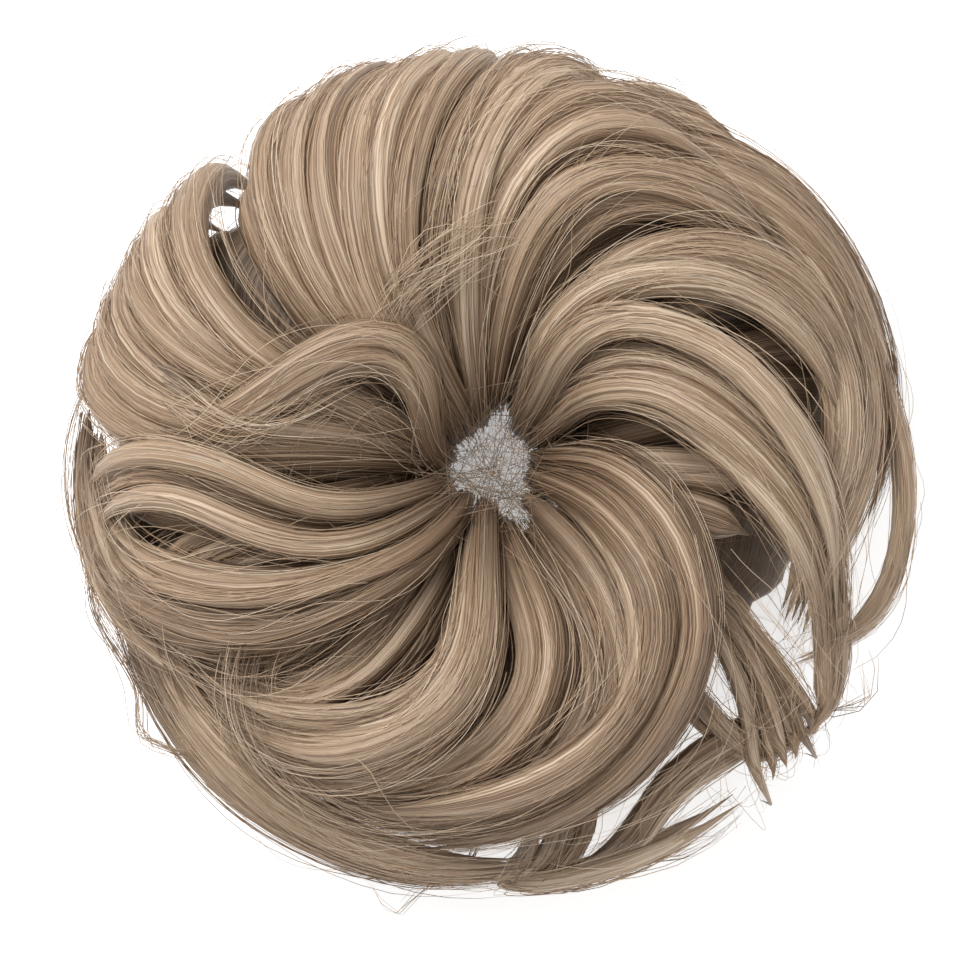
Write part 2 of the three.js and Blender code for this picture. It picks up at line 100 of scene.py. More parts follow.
FANS = (
    Fan("left_side", Region.UPPER_LEFT, 7, 0.7, (
        (166, ROOT, 151, ROOT, 0.0), (170, 0.12, 152, 0.1, 0.0), (174, 0.38, 153, 0.32, 0.1),
        (177, 0.62, 151, 0.54, 0.3), (172, 0.82, 145, 0.75, 0.3), (165, 0.95, 138, 0.9, 0.2),
        (158, 1.06, 132, 1.04, 0.0), (152, 1.35, 127, 1.35, 0.0),
    ), tone=-0.05),
    Fan("top_left", Region.UPPER_LEFT, 7, 0.7, (
        (137, ROOT, 108, ROOT, 0.0), (139, 0.12, 110, 0.1, 0.0), (140, 0.35, 111, 0.3, 0.1),
        (136, 0.58, 105, 0.52, 0.3), (129, 0.79, 97, 0.72, 0.4), (121, 0.94, 91, 0.88, 0.2),
        (114, 1.05, 84, 1.04, 0.0), (109, 1.35, 80, 1.35, 0.0),
    ), tone=-0.06),
    Fan("top_knob", Region.UPPER_LEFT, 4, 0.57, (
        (104, ROOT, 97, ROOT, 0.0), (104, 0.14, 96, 0.14, 0.0), (102, 0.38, 95, 0.36, 0.1),
        (97, 0.62, 91, 0.6, 0.4), (91, 0.82, 86, 0.79, 0.5), (84, 0.96, 80, 0.9, 0.5),
        (75, 0.98, 74, 0.92, 0.3), (69, 0.92, 70, 0.87, -0.2),
    ), tone=-0.04),
    Fan("top_arc", Region.UPPER_RIGHT, 5, 0.59, (
        (99, ROOT, 91, ROOT, 0.0), (98, 0.14, 91, 0.14, 0.1), (95, 0.36, 88, 0.34, 0.3),
        (90, 0.56, 84, 0.5, 0.5), (85, 0.74, 79, 0.65, 0.7), (77, 0.87, 72, 0.77, 0.8),
        (67, 0.92, 63, 0.82, 0.6), (57, 0.92, 54, 0.82, 0.3), (49, 0.9, 47, 0.82, 0.0),
    ), tone=-0.05),
    Fan("second_arc", Region.UPPER_RIGHT, 4, 0.57, (
        (88, ROOT, 81, ROOT, 0.0), (88, 0.14, 82, 0.12, 0.1), (86, 0.32, 80, 0.28, 0.3),
        (81, 0.49, 76, 0.44, 0.6), (75, 0.63, 70, 0.57, 0.9), (67, 0.73, 63, 0.66, 1.0),
        (57, 0.79, 55, 0.72, 0.9), (47, 0.83, 46, 0.76, 0.6), (38, 0.86, 37, 0.79, 0.3),
        (30, 0.87, 29, 0.81, 0.0),
    ), tone=-0.1),
    Fan("outer_right", Region.UPPER_RIGHT, 7, 0.57, (
        (80, 0.55, 70, 0.45, -0.4), (72, 0.73, 64, 0.6, -0.2), (63, 0.87, 57, 0.74, 0.0),
        (53, 0.94, 49, 0.83, 0.2), (43, 0.97, 40, 0.88, 0.3), (32, 0.98, 30, 0.9, 0.3),
        (21, 0.97, 19, 0.89, 0.2), (10, 0.97, 9, 0.9, 0.1), (0, 0.96, 0, 0.87, 0.0),
        (-9, 0.91, -9, 0.83, -0.2),
    ), tone=-0.1),
    # The hollow's darker tone is painted shade.
    Fan("hollow_above", Region.UPPER_RIGHT, 4, 0.57, (
        (78, ROOT, 64, ROOT, -0.1), (78, 0.14, 66, 0.12, -0.3), (75, 0.3, 67, 0.26, -0.4),
        (70, 0.46, 64, 0.42, -0.5), (62, 0.6, 58, 0.55, -0.5), (52, 0.7, 50, 0.66, -0.4),
        (40, 0.78, 40, 0.74, -0.3),
    ), tone=-0.05),
    Fan("middle_arc", Region.UPPER_RIGHT, 5, 0.51, (
        (70, ROOT, 56, ROOT, 0.0), (68, 0.1, 60, 0.08, 0.1), (66, 0.24, 63, 0.18, 0.3),
        (62, 0.38, 62, 0.29, 0.6), (56, 0.51, 57, 0.41, 0.8), (49, 0.64, 49, 0.52, 0.9),
        (41, 0.74, 40, 0.62, 0.9), (31, 0.82, 30, 0.71, 0.7), (20, 0.86, 19, 0.78, 0.5),
        (8, 0.88, 7, 0.82, 0.2), (-4, 0.9, -4, 0.86, 0.0),
    ), tone=0.08),
    Fan("inner_arc", Region.RIGHT, 7, 0.57, (
        (46, ROOT, 20, ROOT, 0.0), (53, 0.1, 30, 0.08, 0.1), (61, 0.21, 37, 0.17, 0.3),
        (58, 0.33, 30, 0.26, 0.5), (49, 0.43, 20, 0.35, 0.7), (37, 0.51, 11, 0.42, 0.8),
        (25, 0.59, 3, 0.5, 0.8), (12, 0.66, -5, 0.6, 0.7), (0, 0.73, -13, 0.7, 0.5),
        (-10, 0.8, -22, 0.79, 0.3), (-19, 0.86, -31, 0.88, 0.2), (-27, 0.93, -37, 0.98, 0.2),
    ), tone=0.06, uneven=0.15),
    Fan("right_side", Region.RIGHT, 5, 0.49, (
        (40, 0.9, 34, 0.8, -0.1), (28, 0.92, 24, 0.82, 0.1), (17, 0.92, 14, 0.83, 0.2),
        (6, 0.9, 4, 0.81, 0.2), (-4, 0.86, -5, 0.78, 0.2), (-13, 0.81, -13, 0.75, 0.1),
        (-22, 0.8, -21, 0.74, -0.1), (-30, 0.82, -28, 0.76, -0.3),
    ), tone=0.06),
    Fan("right_loop", Region.RIGHT, 2, 0.36, (
        (30, 0.93, 27, 0.9, 0.0), (17, 0.96, 15, 0.94, 0.2), (5, 0.99, 4, 0.98, 0.5),
        (-4, 1.0, -4, 0.99, 0.75), (-11, 1.0, -11, 1.0, 0.8), (-18, 1.0, -18, 0.99, 0.7),
        (-24, 0.97, -23, 0.96, 0.4), (-29, 0.91, -28, 0.9, 0.1), (-34, 0.84, -33, 0.83, -0.2),
    ), tone=0.03, loose=1.2),
    Fan("right_fall", Region.RIGHT, 8, 0.59, (
        (20, ROOT, -14, ROOT, 0.0), (14, 0.12, -18, 0.1, 0.1), (3, 0.25, -26, 0.2, 0.4),
        (-11, 0.36, -35, 0.32, 0.8), (-25, 0.48, -45, 0.45, 1.0), (-37, 0.58, -56, 0.56, 1.0),
        (-50, 0.67, -68, 0.65, 1.0), (-64, 0.75, -82, 0.71, 0.9), (-79, 0.82, -96, 0.77, 0.7),
        (-95, 0.88, -110, 0.83, 0.4), (-110, 0.93, -122, 0.87, 0.1),
    ), tone=-0.16),
    Fan("inner_fall", Region.BOTTOM, 5, 0.53, (
        (-36, ROOT, -56, ROOT, 0.0), (-38, 0.14, -56, 0.14, 0.0), (-44, 0.3, -56, 0.28, 0.1),
        (-50, 0.46, -60, 0.42, 0.3), (-58, 0.6, -68, 0.55, 0.5), (-69, 0.69, -79, 0.64, 0.5),
        (-82, 0.75, -92, 0.71, 0.4), (-97, 0.81, -105, 0.77, 0.2), (-112, 0.87, -118, 0.83, 0.1),
        (-126, 0.9, -129, 0.87, -0.1),
    ), tone=-0.07),
    Fan("centre_fall", Region.BOTTOM, 5, 0.51, (
        (-66, ROOT, -84, ROOT, 0.0), (-60, 0.16, -80, 0.14, -0.1), (-58, 0.3, -76, 0.28, 0.0),
        (-63, 0.44, -78, 0.42, 0.2), (-72, 0.56, -86, 0.54, 0.4), (-83, 0.67, -96, 0.65, 0.4),
        (-96, 0.76, -107, 0.74, 0.3), (-110, 0.83, -119, 0.81, 0.1), (-124, 0.88, -131, 0.86, -0.1),
    ), tone=-0.05),
    Fan("left_fall", Region.BOTTOM, 7, 0.56, (
        (-84, ROOT, -104, ROOT, 0.0), (-87, 0.12, -101, 0.08, 0.2), (-88, 0.26, -98, 0.2, 0.5),
        (-90, 0.39, -98, 0.32, 0.8), (-95, 0.52, -103, 0.43, 1.0), (-103, 0.63, -110, 0.53, 1.0),
        (-111, 0.73, -119, 0.62, 0.8), (-120, 0.81, -129, 0.7, 0.6), (-131, 0.86, -138, 0.77, 0.3),
        (-142, 0.87, -147, 0.82, 0.0),
    )),
    # The hollow's darker tone is painted shade.
    Fan("hollow_below", Region.LEFT, 7, 0.53, (
        (-106, 0.0, -128, 0.0, -0.2), (-108, 0.18, -134, 0.2, -0.4), (-111, 0.34, -137, 0.36, -0.4),
        (-115, 0.5, -138, 0.5, -0.4), (-122, 0.64, -141, 0.64, -0.3), (-132, 0.75, -146, 0.74, -0.2),
        (-143, 0.82, -152, 0.82, -0.2),
    ), tone=-0.09, loose=1.8),
    Fan("diagonal", Region.LEFT, 7, 0.45, (
        (258, ROOT, 240, ROOT, 0.0), (246, 0.1, 232, 0.08, 0.4), (236, 0.22, 222, 0.2, 0.8),
        (229, 0.35, 214, 0.33, 1.0), (223, 0.48, 209, 0.46, 1.0), (218, 0.62, 204, 0.58, 0.8),
        (210, 0.76, 199, 0.69, 0.6), (202, 0.87, 194, 0.79, 0.4), (194, 0.95, 188, 0.87, 0.1),
        (185, 0.97, 182, 0.92, -0.1),
    ), tone=-0.12),
    Fan("left_sweep", Region.LEFT, 5, 0.51, (
        (222, ROOT, 200, ROOT, 0.0), (217, 0.13, 200, 0.12, 0.3), (211, 0.26, 197, 0.26, 0.8),
        (202, 0.4, 189, 0.4, 0.9), (192, 0.53, 181, 0.54, 0.9), (185, 0.66, 177, 0.67, 0.8),
        (184, 0.79, 177, 0.8, 0.5), (188, 0.9, 181, 0.92, 0.1), (196, 0.95, 188, 0.98, -0.1),
    ), tone=-0.05),
    Fan("left_return", Region.LEFT, 5, 0.41, (
        (176, 0.9, 172, 0.97, 0.0), (184, 0.88, 182, 0.97, 0.1), (193, 0.84, 192, 0.96, 0.1),
        (202, 0.78, 202, 0.92, 0.1), (211, 0.7, 213, 0.86, 0.0), (219, 0.62, 223, 0.78, -0.2),
    ), tone=-0.03, loose=1.4),
    # The hollow's darker tone is painted shade.
    Fan("hollow_left", Region.LEFT, 5, 0.49, (
        (212, 0.1, 190, 0.1, -0.1), (208, 0.3, 191, 0.3, -0.2), (206, 0.48, 192, 0.48, -0.3),
        (205, 0.62, 193, 0.64, -0.3), (207, 0.74, 195, 0.78, -0.2), (211, 0.83, 199, 0.88, -0.2),
    ), tone=-0.1, loose=1.8),
    Fan("left_curl", Region.LEFT, 5, 0.36, (
        (176, ROOT, 202, ROOT, 0.0), (160, 0.02, 186, 0.02, 0.4), (138, 0.06, 162, 0.05, 0.8),
        (121, 0.14, 140, 0.1, 1.1), (118, 0.25, 131, 0.2, 1.2), (127, 0.34, 139, 0.29, 1.2),
        (140, 0.4, 151, 0.36, 1.1), (153, 0.46, 162, 0.43, 1.0), (163, 0.53, 169, 0.51, 0.9),
        (170, 0.62, 174, 0.6, 0.7), (175, 0.74, 178, 0.72, 0.0), (178, 0.84, 181, 0.82, -0.6),
        (180, 0.9, 183, 0.88, -1.0),
    ), tone=-0.08, uneven=0.2),
    # The curl's eye: its low tone is painted shade in the hollow.
    Fan("curl_eye", Region.LEFT, 5, 0.33, (
        (178, ROOT, 204, ROOT, -0.2), (168, 0.05, 186, 0.05, 0.2), (150, 0.13, 168, 0.1, 0.4),
        (146, 0.23, 160, 0.18, 0.4), (153, 0.31, 163, 0.26, 0.2), (165, 0.37, 173, 0.33, 0.0),
        (178, 0.4, 185, 0.37, -0.2), (190, 0.4, 196, 0.38, -0.4),
    ), tone=-0.28, loose=2.4, bodied=False, uneven=0.25),
    Fan("lower_rim", Region.LEFT, 7, 0.45, (
        (200, 0.84, 203, 0.94, 0.0), (210, 0.86, 213, 0.96, 0.1), (220, 0.87, 222, 0.98, 0.2),
        (230, 0.88, 231, 0.99, 0.3), (240, 0.9, 240, 1.0, 0.3), (250, 0.91, 250, 1.0, 0.3),
        (260, 0.92, 260, 1.0, 0.3), (270, 0.93, 270, 1.0, 0.3), (280, 0.92, 281, 1.0, 0.1),
    ), tone=-0.02, loose=1.4),
    Fan("bottom_curl", Region.BOTTOM, 4, 0.36, (
        (-72, 0.72, -80, 0.76, -0.3), (-73, 0.83, -82, 0.87, -0.1), (-78, 0.93, -87, 0.96, 0.1),
        (-83, 0.99, -90, 1.0, 0.3), (-79, 1.0, -83, 1.0, 0.5), (-72, 1.0, -75, 1.0, 0.65),
        (-65, 1.0, -67, 1.0, 0.75), (-58, 1.0, -59, 1.0, 0.85), (-52, 1.0, -52, 1.0, 0.95),
    ), loose=1.5, uneven=0.22),
    Fan("corner_lock", Region.BOTTOM, 3, 0.3, (
        (-41, 0.93, -39, 0.88, 0.1), (-47, 0.89, -46, 0.83, 0.0), (-54, 0.87, -54, 0.81, 0.0),
        (-61, 0.88, -61, 0.83, 0.0), (-66, 0.93, -67, 0.89, 0.1), (-71, 0.99, -73, 0.96, 0.2),
        (-78, 1.0, -80, 0.99, 0.2),
    ), loose=1.4, uneven=0.15),
    Fan("corner_tips", Region.BOTTOM, 4, 0.24, (
        (-46, 0.62, -52, 0.64, -0.3), (-47, 0.74, -51, 0.74, -0.1), (-47, 0.85, -50, 0.84, 0.0),
        (-45, 0.94, -48, 0.92, 0.2), (-41, 1.0, -44, 0.97, 0.4), (-36, 1.0, -39, 0.99, 0.5),
    ), loose=1.5, uneven=0.25),
    Fan("tip_fan", Region.RIGHT, 7, 0.27, (
        (-20, 0.46, -34, 0.46, -0.2), (-27, 0.57, -36, 0.57, -0.1), (-31, 0.69, -39, 0.68, 0.0),
        (-34, 0.82, -43, 0.8, 0.1), (-37, 0.95, -48, 0.91, 0.3), (-39, 1.0, -50, 0.98, 0.8),
        (-40, 1.0, -51, 1.0, 1.4),
    ), loose=1.6, uneven=0.25),
    Fan("right_tail", Region.RIGHT, 3, 0.34, (
        (-6, 0.79, -9, 0.74, 0.0), (-14, 0.83, -16, 0.78, 0.0), (-21, 0.88, -22, 0.83, 0.1),
        (-27, 0.94, -27, 0.88, 0.2), (-32, 0.99, -32, 0.94, 0.3), (-36, 1.0, -36, 0.98, 0.5),
        (-41, 1.0, -40, 1.0, 0.6),
    ), loose=1.3, uneven=0.2),
    Fan("upper_tip", Region.UPPER_RIGHT, 3, 0.3, (
        (88, 0.7, 84, 0.66, 0.1), (80, 0.84, 77, 0.79, 0.2), (72, 0.93, 70, 0.88, 0.3),
        (64, 0.99, 63, 0.93, 0.4), (57, 1.0, 57, 0.96, 0.5), (51, 1.0, 52, 0.97, 0.65),
    ), loose=1.4, uneven=0.25),
    Fan("curl_wisps", Region.UPPER_LEFT, 3, 0.2, (
        (167, 0.82, 163, 0.78, 0.1), (167, 0.73, 164, 0.69, 0.4), (171, 0.63, 168, 0.59, 0.7),
        (173, 0.52, 170, 0.48, 1.0), (169, 0.42, 167, 0.38, 1.4), (158, 0.33, 157, 0.3, 1.6),
        (145, 0.27, 146, 0.25, 1.6),
    ), tone=0.12, loose=2.0, bodied=False, uneven=0.3),
    Fan("crossing_wisps", Region.UPPER_LEFT, 3, 0.4, (
        (137, 0.27, 134, 0.33, 0.1), (127, 0.3, 126, 0.36, 0.5), (116, 0.34, 115, 0.41, 0.8),
        (103, 0.38, 102, 0.46, 0.9), (91, 0.43, 90, 0.52, 0.8), (82, 0.48, 82, 0.57, 0.5),
    ), tone=0.1, loose=2.6, bodied=False, uneven=0.3),
    Fan("lower_arcs", Region.LEFT, 4, 0.24, (
        (212, 0.66, 222, 0.62, 0.2), (218, 0.76, 226, 0.72, 0.5), (226, 0.84, 233, 0.8, 0.6),
        (237, 0.9, 242, 0.85, 0.6), (248, 0.91, 252, 0.86, 0.5), (260, 0.88, 263, 0.84, 0.4),
        (272, 0.84, 275, 0.8, 0.2),
    ), tone=0.07, loose=2.0, bodied=False, uneven=0.25),
    Fan("wisp_bottom", Region.BOTTOM, 1, 0.2, (
        (270, 0.85, 268, 0.87, 0.0), (268, 0.94, 266, 0.95, 0.1), (265, 1.0, 263, 1.0, 0.5),
        (261, 1.0, 260, 1.0, 1.0), (258, 1.0, 257, 1.0, 1.5), (255, 1.0, 255, 1.0, 1.8),
    ), bodied=False, uneven=0.25),
    Fan("wisp_lower_left", Region.LEFT, 2, 0.2, (
        (190, 0.96, 190, 0.96, 0.0), (197, 0.99, 197, 0.99, 0.4), (203, 1.0, 203, 1.0, 0.8),
        (209, 1.0, 209, 1.0, 1.15), (215, 1.0, 215, 1.0, 1.15), (221, 1.0, 221, 1.0, 0.7),
        (227, 0.97, 227, 0.97, 0.2), (234, 0.92, 234, 0.92, 0.0),
    ), bodied=False),
    Fan("wisp_left", Region.LEFT, 1, 0.2, (
        (164, 0.94, 164, 0.94, 0.1), (171, 0.99, 171, 0.99, 0.4), (179, 1.0, 179, 1.0, 0.6),
        (187, 1.0, 187, 1.0, 0.5), (195, 0.97, 195, 0.97, 0.2), (203, 0.9, 203, 0.9, 0.0),
    ), bodied=False),
    Fan("wisp_right", Region.RIGHT, 1, 0.08, (
        (314, 0.88, 314, 0.88, 0.0), (318, 0.97, 318, 0.97, 0.2), (322, 1.0, 322, 1.0, 0.6),
        (326, 1.0, 326, 1.0, 1.0), (330, 1.0, 330, 1.0, 1.2), (334, 1.0, 334, 1.0, 1.3),
    ), bodied=False, uneven=0.25),
)

# Degrees round the ring, first and last, where the floor shows at the rim.
OPEN_SPANS = ((128, 137), (204, 213), (250, 262), (284, 352))


def linear(red: int, green: int, blue: int) -> tuple[float, float, float, float]:
    """A display colour of 0 to 255 a channel as Blender's linear colour.

    Args:
        red, green, blue: the channels of the display colour.

    Returns:
        The linear colour with full alpha.
    """
    share = np.array([red, green, blue]) / 255
    value = np.where(share <= 0.04045, share / 12.92, ((share + 0.055) / 1.055) ** 2.4)
    return (*(float(v) for v in value), 1.0)


def unit(vectors: np.ndarray) -> np.ndarray:
    """Each vector divided by its length."""
    return vectors / np.maximum(np.linalg.norm(vectors, axis=-1, keepdims=True), 1e-12)


def smooth(value: np.ndarray) -> np.ndarray:
    """Smoothstep: 3 v squared less 2 v cubed, with v held between 0 and 1."""
    held = np.clip(value, 0, 1)
    return held * held * (3 - 2 * held)


def around_both(turns: int, section: int) -> tuple[np.ndarray, np.ndarray]:
    """Even angles round a ring and round its section, as two grids of turns by section."""
    return tuple(np.meshgrid(
        2 * np.pi * np.arange(turns) / turns,
        2 * np.pi * np.arange(section) / section,
        indexing="ij",
    ))


def put_in_scene(name: str, data: bpy.types.ID) -> bpy.types.Object:
    """Makes an object of a mesh, lamp or camera and links it to the scene."""
    thing = bpy.data.objects.new(name, data)
    bpy.context.scene.collection.objects.link(thing)
    return thing


def new_material(name: str) -> tuple[bpy.types.Material, bpy.types.Node]:
    """Makes a material with nodes, and gives it with its surface shader."""
    material = bpy.data.materials.new(name)
    material.use_nodes = True
    return material, material.node_tree.nodes["Principled BSDF"]


def spline_weights(stations: int, along: np.ndarray) -> np.ndarray:
    """How much of each station a uniform cubic B-spline takes at each place along it.

    Between two stations the four nearest have the usual cubic weights, so the line and its
    bend are smooth and it rounds the stations off. A station past each end is the mirror image
    of the second one about the first, so that the line starts and ends on a station.

    Args:
        stations: how many stations lead the spline.
        along: places along it, 0 to 1, in any shape.

    Returns:
        Weights in the shape of `along`, with one more axis for the stations.
    """
    place = along * (stations - 1)
    first = np.clip(np.floor(place), 0, stations - 2).astype(int)
    f = (place - first)[..., None]
    cubic = np.concatenate([
        (1 - f) ** 3,
        3 * f**3 - 6 * f**2 + 4,
        -3 * f**3 + 3 * f**2 + 3 * f + 1,
        f**3,
    ], axis=-1) / 6
    padded = np.zeros((*along.shape, stations + 2))
    np.put_along_axis(padded, first[..., None] + np.arange(4), cubic, axis=-1)
    weights = padded[..., 1:-1]
    weights[..., 0] += 2 * padded[..., 0]
    weights[..., 1] -= padded[..., 0]
    weights[..., -1] += 2 * padded[..., -1]
    weights[..., -2] -= padded[..., -1]
    return weights


@dataclass(frozen=True)
class Ring:
    """The ring that the locks lie on, of elliptical section, about the elastic's axis."""

    axis: tuple[float, float]
    hole_across: float = 18.5 * MM
    rim_across: float = 168 * MM
    height: float = 56 * MM
    lock_thickness: float = 10 * MM
    press: float = 1 * MM
    overhang: float = 2.5 * MM

    @property
    def middle_radius(self) -> float:
        """From the axis to the middle of the ring's section."""
        return (self.hole_across + self.rim_across) / 4

    @property
    def half_width(self) -> float:
        """Of the section, to the middle of a lock that isn't lifted."""
        return ((self.rim_across - self.hole_across) / 2 - self.lock_thickness) / 2

    @property
    def half_height(self) -> float:
        """Of the section, to the middle of a lock that isn't lifted."""
        return (self.height + self.press - self.lock_thickness) / 2

    @property
    def middle_height(self) -> float:
        """Of the section's middle above the floor."""
        return self.half_height + self.lock_thickness / 2 - self.press

    def roll_and_lift(self, reach: np.ndarray, lift: np.ndarray) -> tuple[np.ndarray, np.ndarray]:
        """The angle round the section at a reach, and the lift there.

        The reach gives the distance from the axis, and the angle's cosine is that distance
        from the section's middle over its half width with the lift. What reaches past the
        rim is lifted instead, up to the overhang. Past 1 and under 0 the angle goes on round
        under the ring.

        Args:
            reach: 0 at the hole and 1 at the rim.
            lift: metres outside the middle of a lock that isn't lifted.

        Returns:
            Radians from the rim over the top, and the lift in metres.
        """
        folded = np.where(reach > 1, 2 - reach, np.abs(reach))
        radius = self.hole_across / 2 + folded * (self.rim_across - self.hole_across) / 2
        out = radius - self.middle_radius
        grown = lift + np.clip(out - self.half_width - lift, 0, self.overhang)
        angle = np.arccos(np.clip(out / (self.half_width + grown), -1, 1))
        roll = np.where(reach > 1, -angle, np.where(reach < 0, 2 * np.pi - angle, angle))
        return roll, grown

    def points(self, turn: np.ndarray, roll: np.ndarray, lift: np.ndarray) -> np.ndarray:
        """Points at an angle round the ring, an angle round its section, and a lift outside it.

        The section is an ellipse whose half axes both grow by the lift.

        Args:
            turn, roll: radians.
            lift: metres.

        Returns:
            Points, with one more axis than the arguments.
        """
        radius = self.middle_radius + (self.half_width + lift) * np.cos(roll)
        return np.stack([
            self.axis[0] + radius * np.cos(turn),
            self.axis[1] + radius * np.sin(turn),
            self.middle_height + (self.half_height + lift) * np.sin(roll),
        ], axis=-1)

    def normals(self, turn: np.ndarray, roll: np.ndarray) -> np.ndarray:
        """The way out of the ring: where a point goes as its lift grows."""
        one = np.ones_like(turn)
        return unit(self.points(turn, roll, one) - self.points(turn, roll, 0 * one))


@dataclass
class Surface:
    """Vertices and faces on their way to a mesh, and what each vertex knows of its fibre."""

    points: list[np.ndarray] = field(default_factory=list)
    corners: list[np.ndarray] = field(default_factory=list)
    sides: list[np.ndarray] = field(default_factory=list)
    fibres: list[np.ndarray] = field(default_factory=list)
    flows: list[np.ndarray] = field(default_factory=list)
    count: int = 0

    def add(self, points: np.ndarray, faces: list[np.ndarray], fibre: np.ndarray,
            flow: np.ndarray) -> None:
        """Adds vertices and the faces between them.

        Args:
            points: vertices, n by 3.
            faces: arrays of corner numbers, one row a face, each array with its own row length.
            fibre: tone, place along and painted shade of each vertex, n by 3.
            flow: metres across the fibre, metres along it, and a number of its own, n by 3.
        """
        for rows in faces:
            self.corners.append((rows + self.count).ravel())
            self.sides.append(np.full(len(rows), rows.shape[1]))
        self.points.append(points)
        self.fibres.append(fibre)
        self.flows.append(flow)
        self.count += len(points)

    def tubes(self, path: np.ndarray, up: np.ndarray, wide: np.ndarray, thick: np.ndarray,
              fibre: np.ndarray) -> None:
        """Adds closed tubes, one along each path.

        At each place the section is an ellipse: side times wide times the cosine, and up times
        thick times the sine, of an angle that goes once round. Flat faces close the ends.

        Args:
            path: middle lines, tubes by places by 3.
            up: the way that each section's thickness lies, the same shape.
            wide, thick: half sizes, tubes by places by corners of the section.
            fibre: tone, place along and painted shade, tubes by places by 3.
        """
        tubes, places, corners = wide.shape
        forward = unit(np.gradient(path, axis=1))
        side = unit(np.cross(up, forward))
        crown = np.cross(forward, side)
        angle = 2 * np.pi * np.arange(corners) / corners - np.pi / 2
        points = (
            path[:, :, None]
            + side[:, :, None] * (wide * np.cos(angle))[..., None]
            + crown[:, :, None] * (thick * np.sin(angle))[..., None]
        )
        points[..., 2] = np.maximum(points[..., 2], 0)
        number = np.arange(tubes * places * corners).reshape(tubes, places, corners)
        ahead = np.roll(number, -1, axis=2)
        walls = np.stack([number[:, :-1], ahead[:, :-1], ahead[:, 1:], number[:, 1:]], axis=-1)
        caps = np.concatenate([number[:, 0, ::-1], number[:, -1]])
        spread = np.repeat(fibre[:, :, None], corners, axis=2)
        steps = np.linalg.norm(np.diff(path, axis=1), axis=-1)
        length = np.concatenate([np.zeros((tubes, 1)), np.cumsum(steps, axis=1)], axis=1)
        across = angle * wide.max(axis=(1, 2), keepdims=True)
        own = ((self.count + np.arange(tubes)) * NOISE_STEP % 1 * NOISE_SPAN)[:, None, None]
        flow = np.stack(np.broadcast_arrays(across, length[..., None], own), axis=-1)
        faces = [walls.reshape(-1, 4), caps]
        self.add(points.reshape(-1, 3), faces, spread.reshape(-1, 3), flow.reshape(-1, 3))

    def loop(self, points: np.ndarray, fibre: np.ndarray) -> None:
        """Adds a closed ring from a grid of points whose rows and columns both go round.

        Args:
            points: round the ring by round its section by 3, with the section turning from the
                rim up over the top.
            fibre: tone, place along and painted shade, in the same shape.
        """
        number = np.arange(points.shape[0] * points.shape[1]).reshape(points.shape[:2])
        onward = np.roll(number, -1, axis=0)
        faces = np.stack(
            [number, onward, np.roll(onward, -1, axis=1), np.roll(number, -1, axis=1)], axis=-1
        )
        across = np.linalg.norm(points - np.roll(points, 1, axis=0), axis=-1).cumsum(axis=0)
        along = np.linalg.norm(points - np.roll(points, 1, axis=1), axis=-1).cumsum(axis=1)
        flow = np.stack([across, along, 0 * along], axis=-1)
        self.add(points.reshape(-1, 3), [faces.reshape(-1, 4)], fibre.reshape(-1, 3),
                 flow.reshape(-1, 3))

    def piece(self, name: str, material: bpy.types.Material, slot: str, node: str) -> int:
        """Makes the mesh and its object, which rides on the root and replaces a CAD node.

        Args:
            name: of the new piece.
            material: its finish.
            slot: the record's material slot; not used.
            node: the CAD node that it stands for.

        Returns:
            How many triangles the piece has.
        """
        sides = np.concatenate(self.sides)
        corners = np.concatenate(self.corners)
        mesh = bpy.data.meshes.new(name)
        mesh.vertices.add(self.count)
        mesh.vertices.foreach_set("co", np.concatenate(self.points).astype(np.float32).ravel())
        mesh.loops.add(len(corners))
        mesh.loops.foreach_set("vertex_index", corners.astype(np.int32))
        mesh.polygons.add(len(sides))
        starts = np.concatenate([[0], np.cumsum(sides)[:-1]])
        mesh.polygons.foreach_set("loop_start", starts.astype(np.int32))
        mesh.polygons.foreach_set("use_smooth", np.ones(len(sides), bool))
        mesh.update(calc_edges=True)
        for layer, values in (("fibre", self.fibres), ("flow", self.flows)):
            attribute = mesh.attributes.new(layer, "FLOAT_VECTOR", "POINT")
            attribute.data.foreach_set("vector", np.concatenate(values).astype(np.float32).ravel())
        mesh.materials.append(material)
        thing = put_in_scene(name, mesh)
        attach(thing, ROOT_BODY)
        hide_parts(node)
        triangles = int((sides - 2).sum())
        log.info("%s: %d triangles", name, triangles)
        return triangles


class NodeTree:
    """A short way to add and join shader nodes."""

    def __init__(self, tree: bpy.types.NodeTree) -> None:
        """Keeps the tree that the nodes go into."""
        self.tree = tree

    def add(self, kind: str, **settings: object) -> bpy.types.Node:
        """Adds a node.

        Args:
            kind: the node's type in Blender.
            settings: properties of the node to set.

        Returns:
            The new node.
        """
        node = self.tree.nodes.new(kind)
        for name, value in settings.items():
            setattr(node, name, value)
        return node

    def join(self, source: bpy.types.NodeSocket, target: bpy.types.NodeSocket) -> None:
        """Feeds one socket to another."""
        self.tree.links.new(source, target)

    def math(self, operation: str, *values: object) -> bpy.types.NodeSocket:
        """Adds a Math node.

        Args:
            operation: its operation in Blender.
            values: sockets or numbers for its inputs, in order.

        Returns:
            Its output.
        """
        node = self.add("ShaderNodeMath", operation=operation)
        for socket, value in zip(node.inputs, values):
            if isinstance(value, (int, float)):
                socket.default_value = value
            else:
                self.join(value, socket)
        return node.outputs[0]


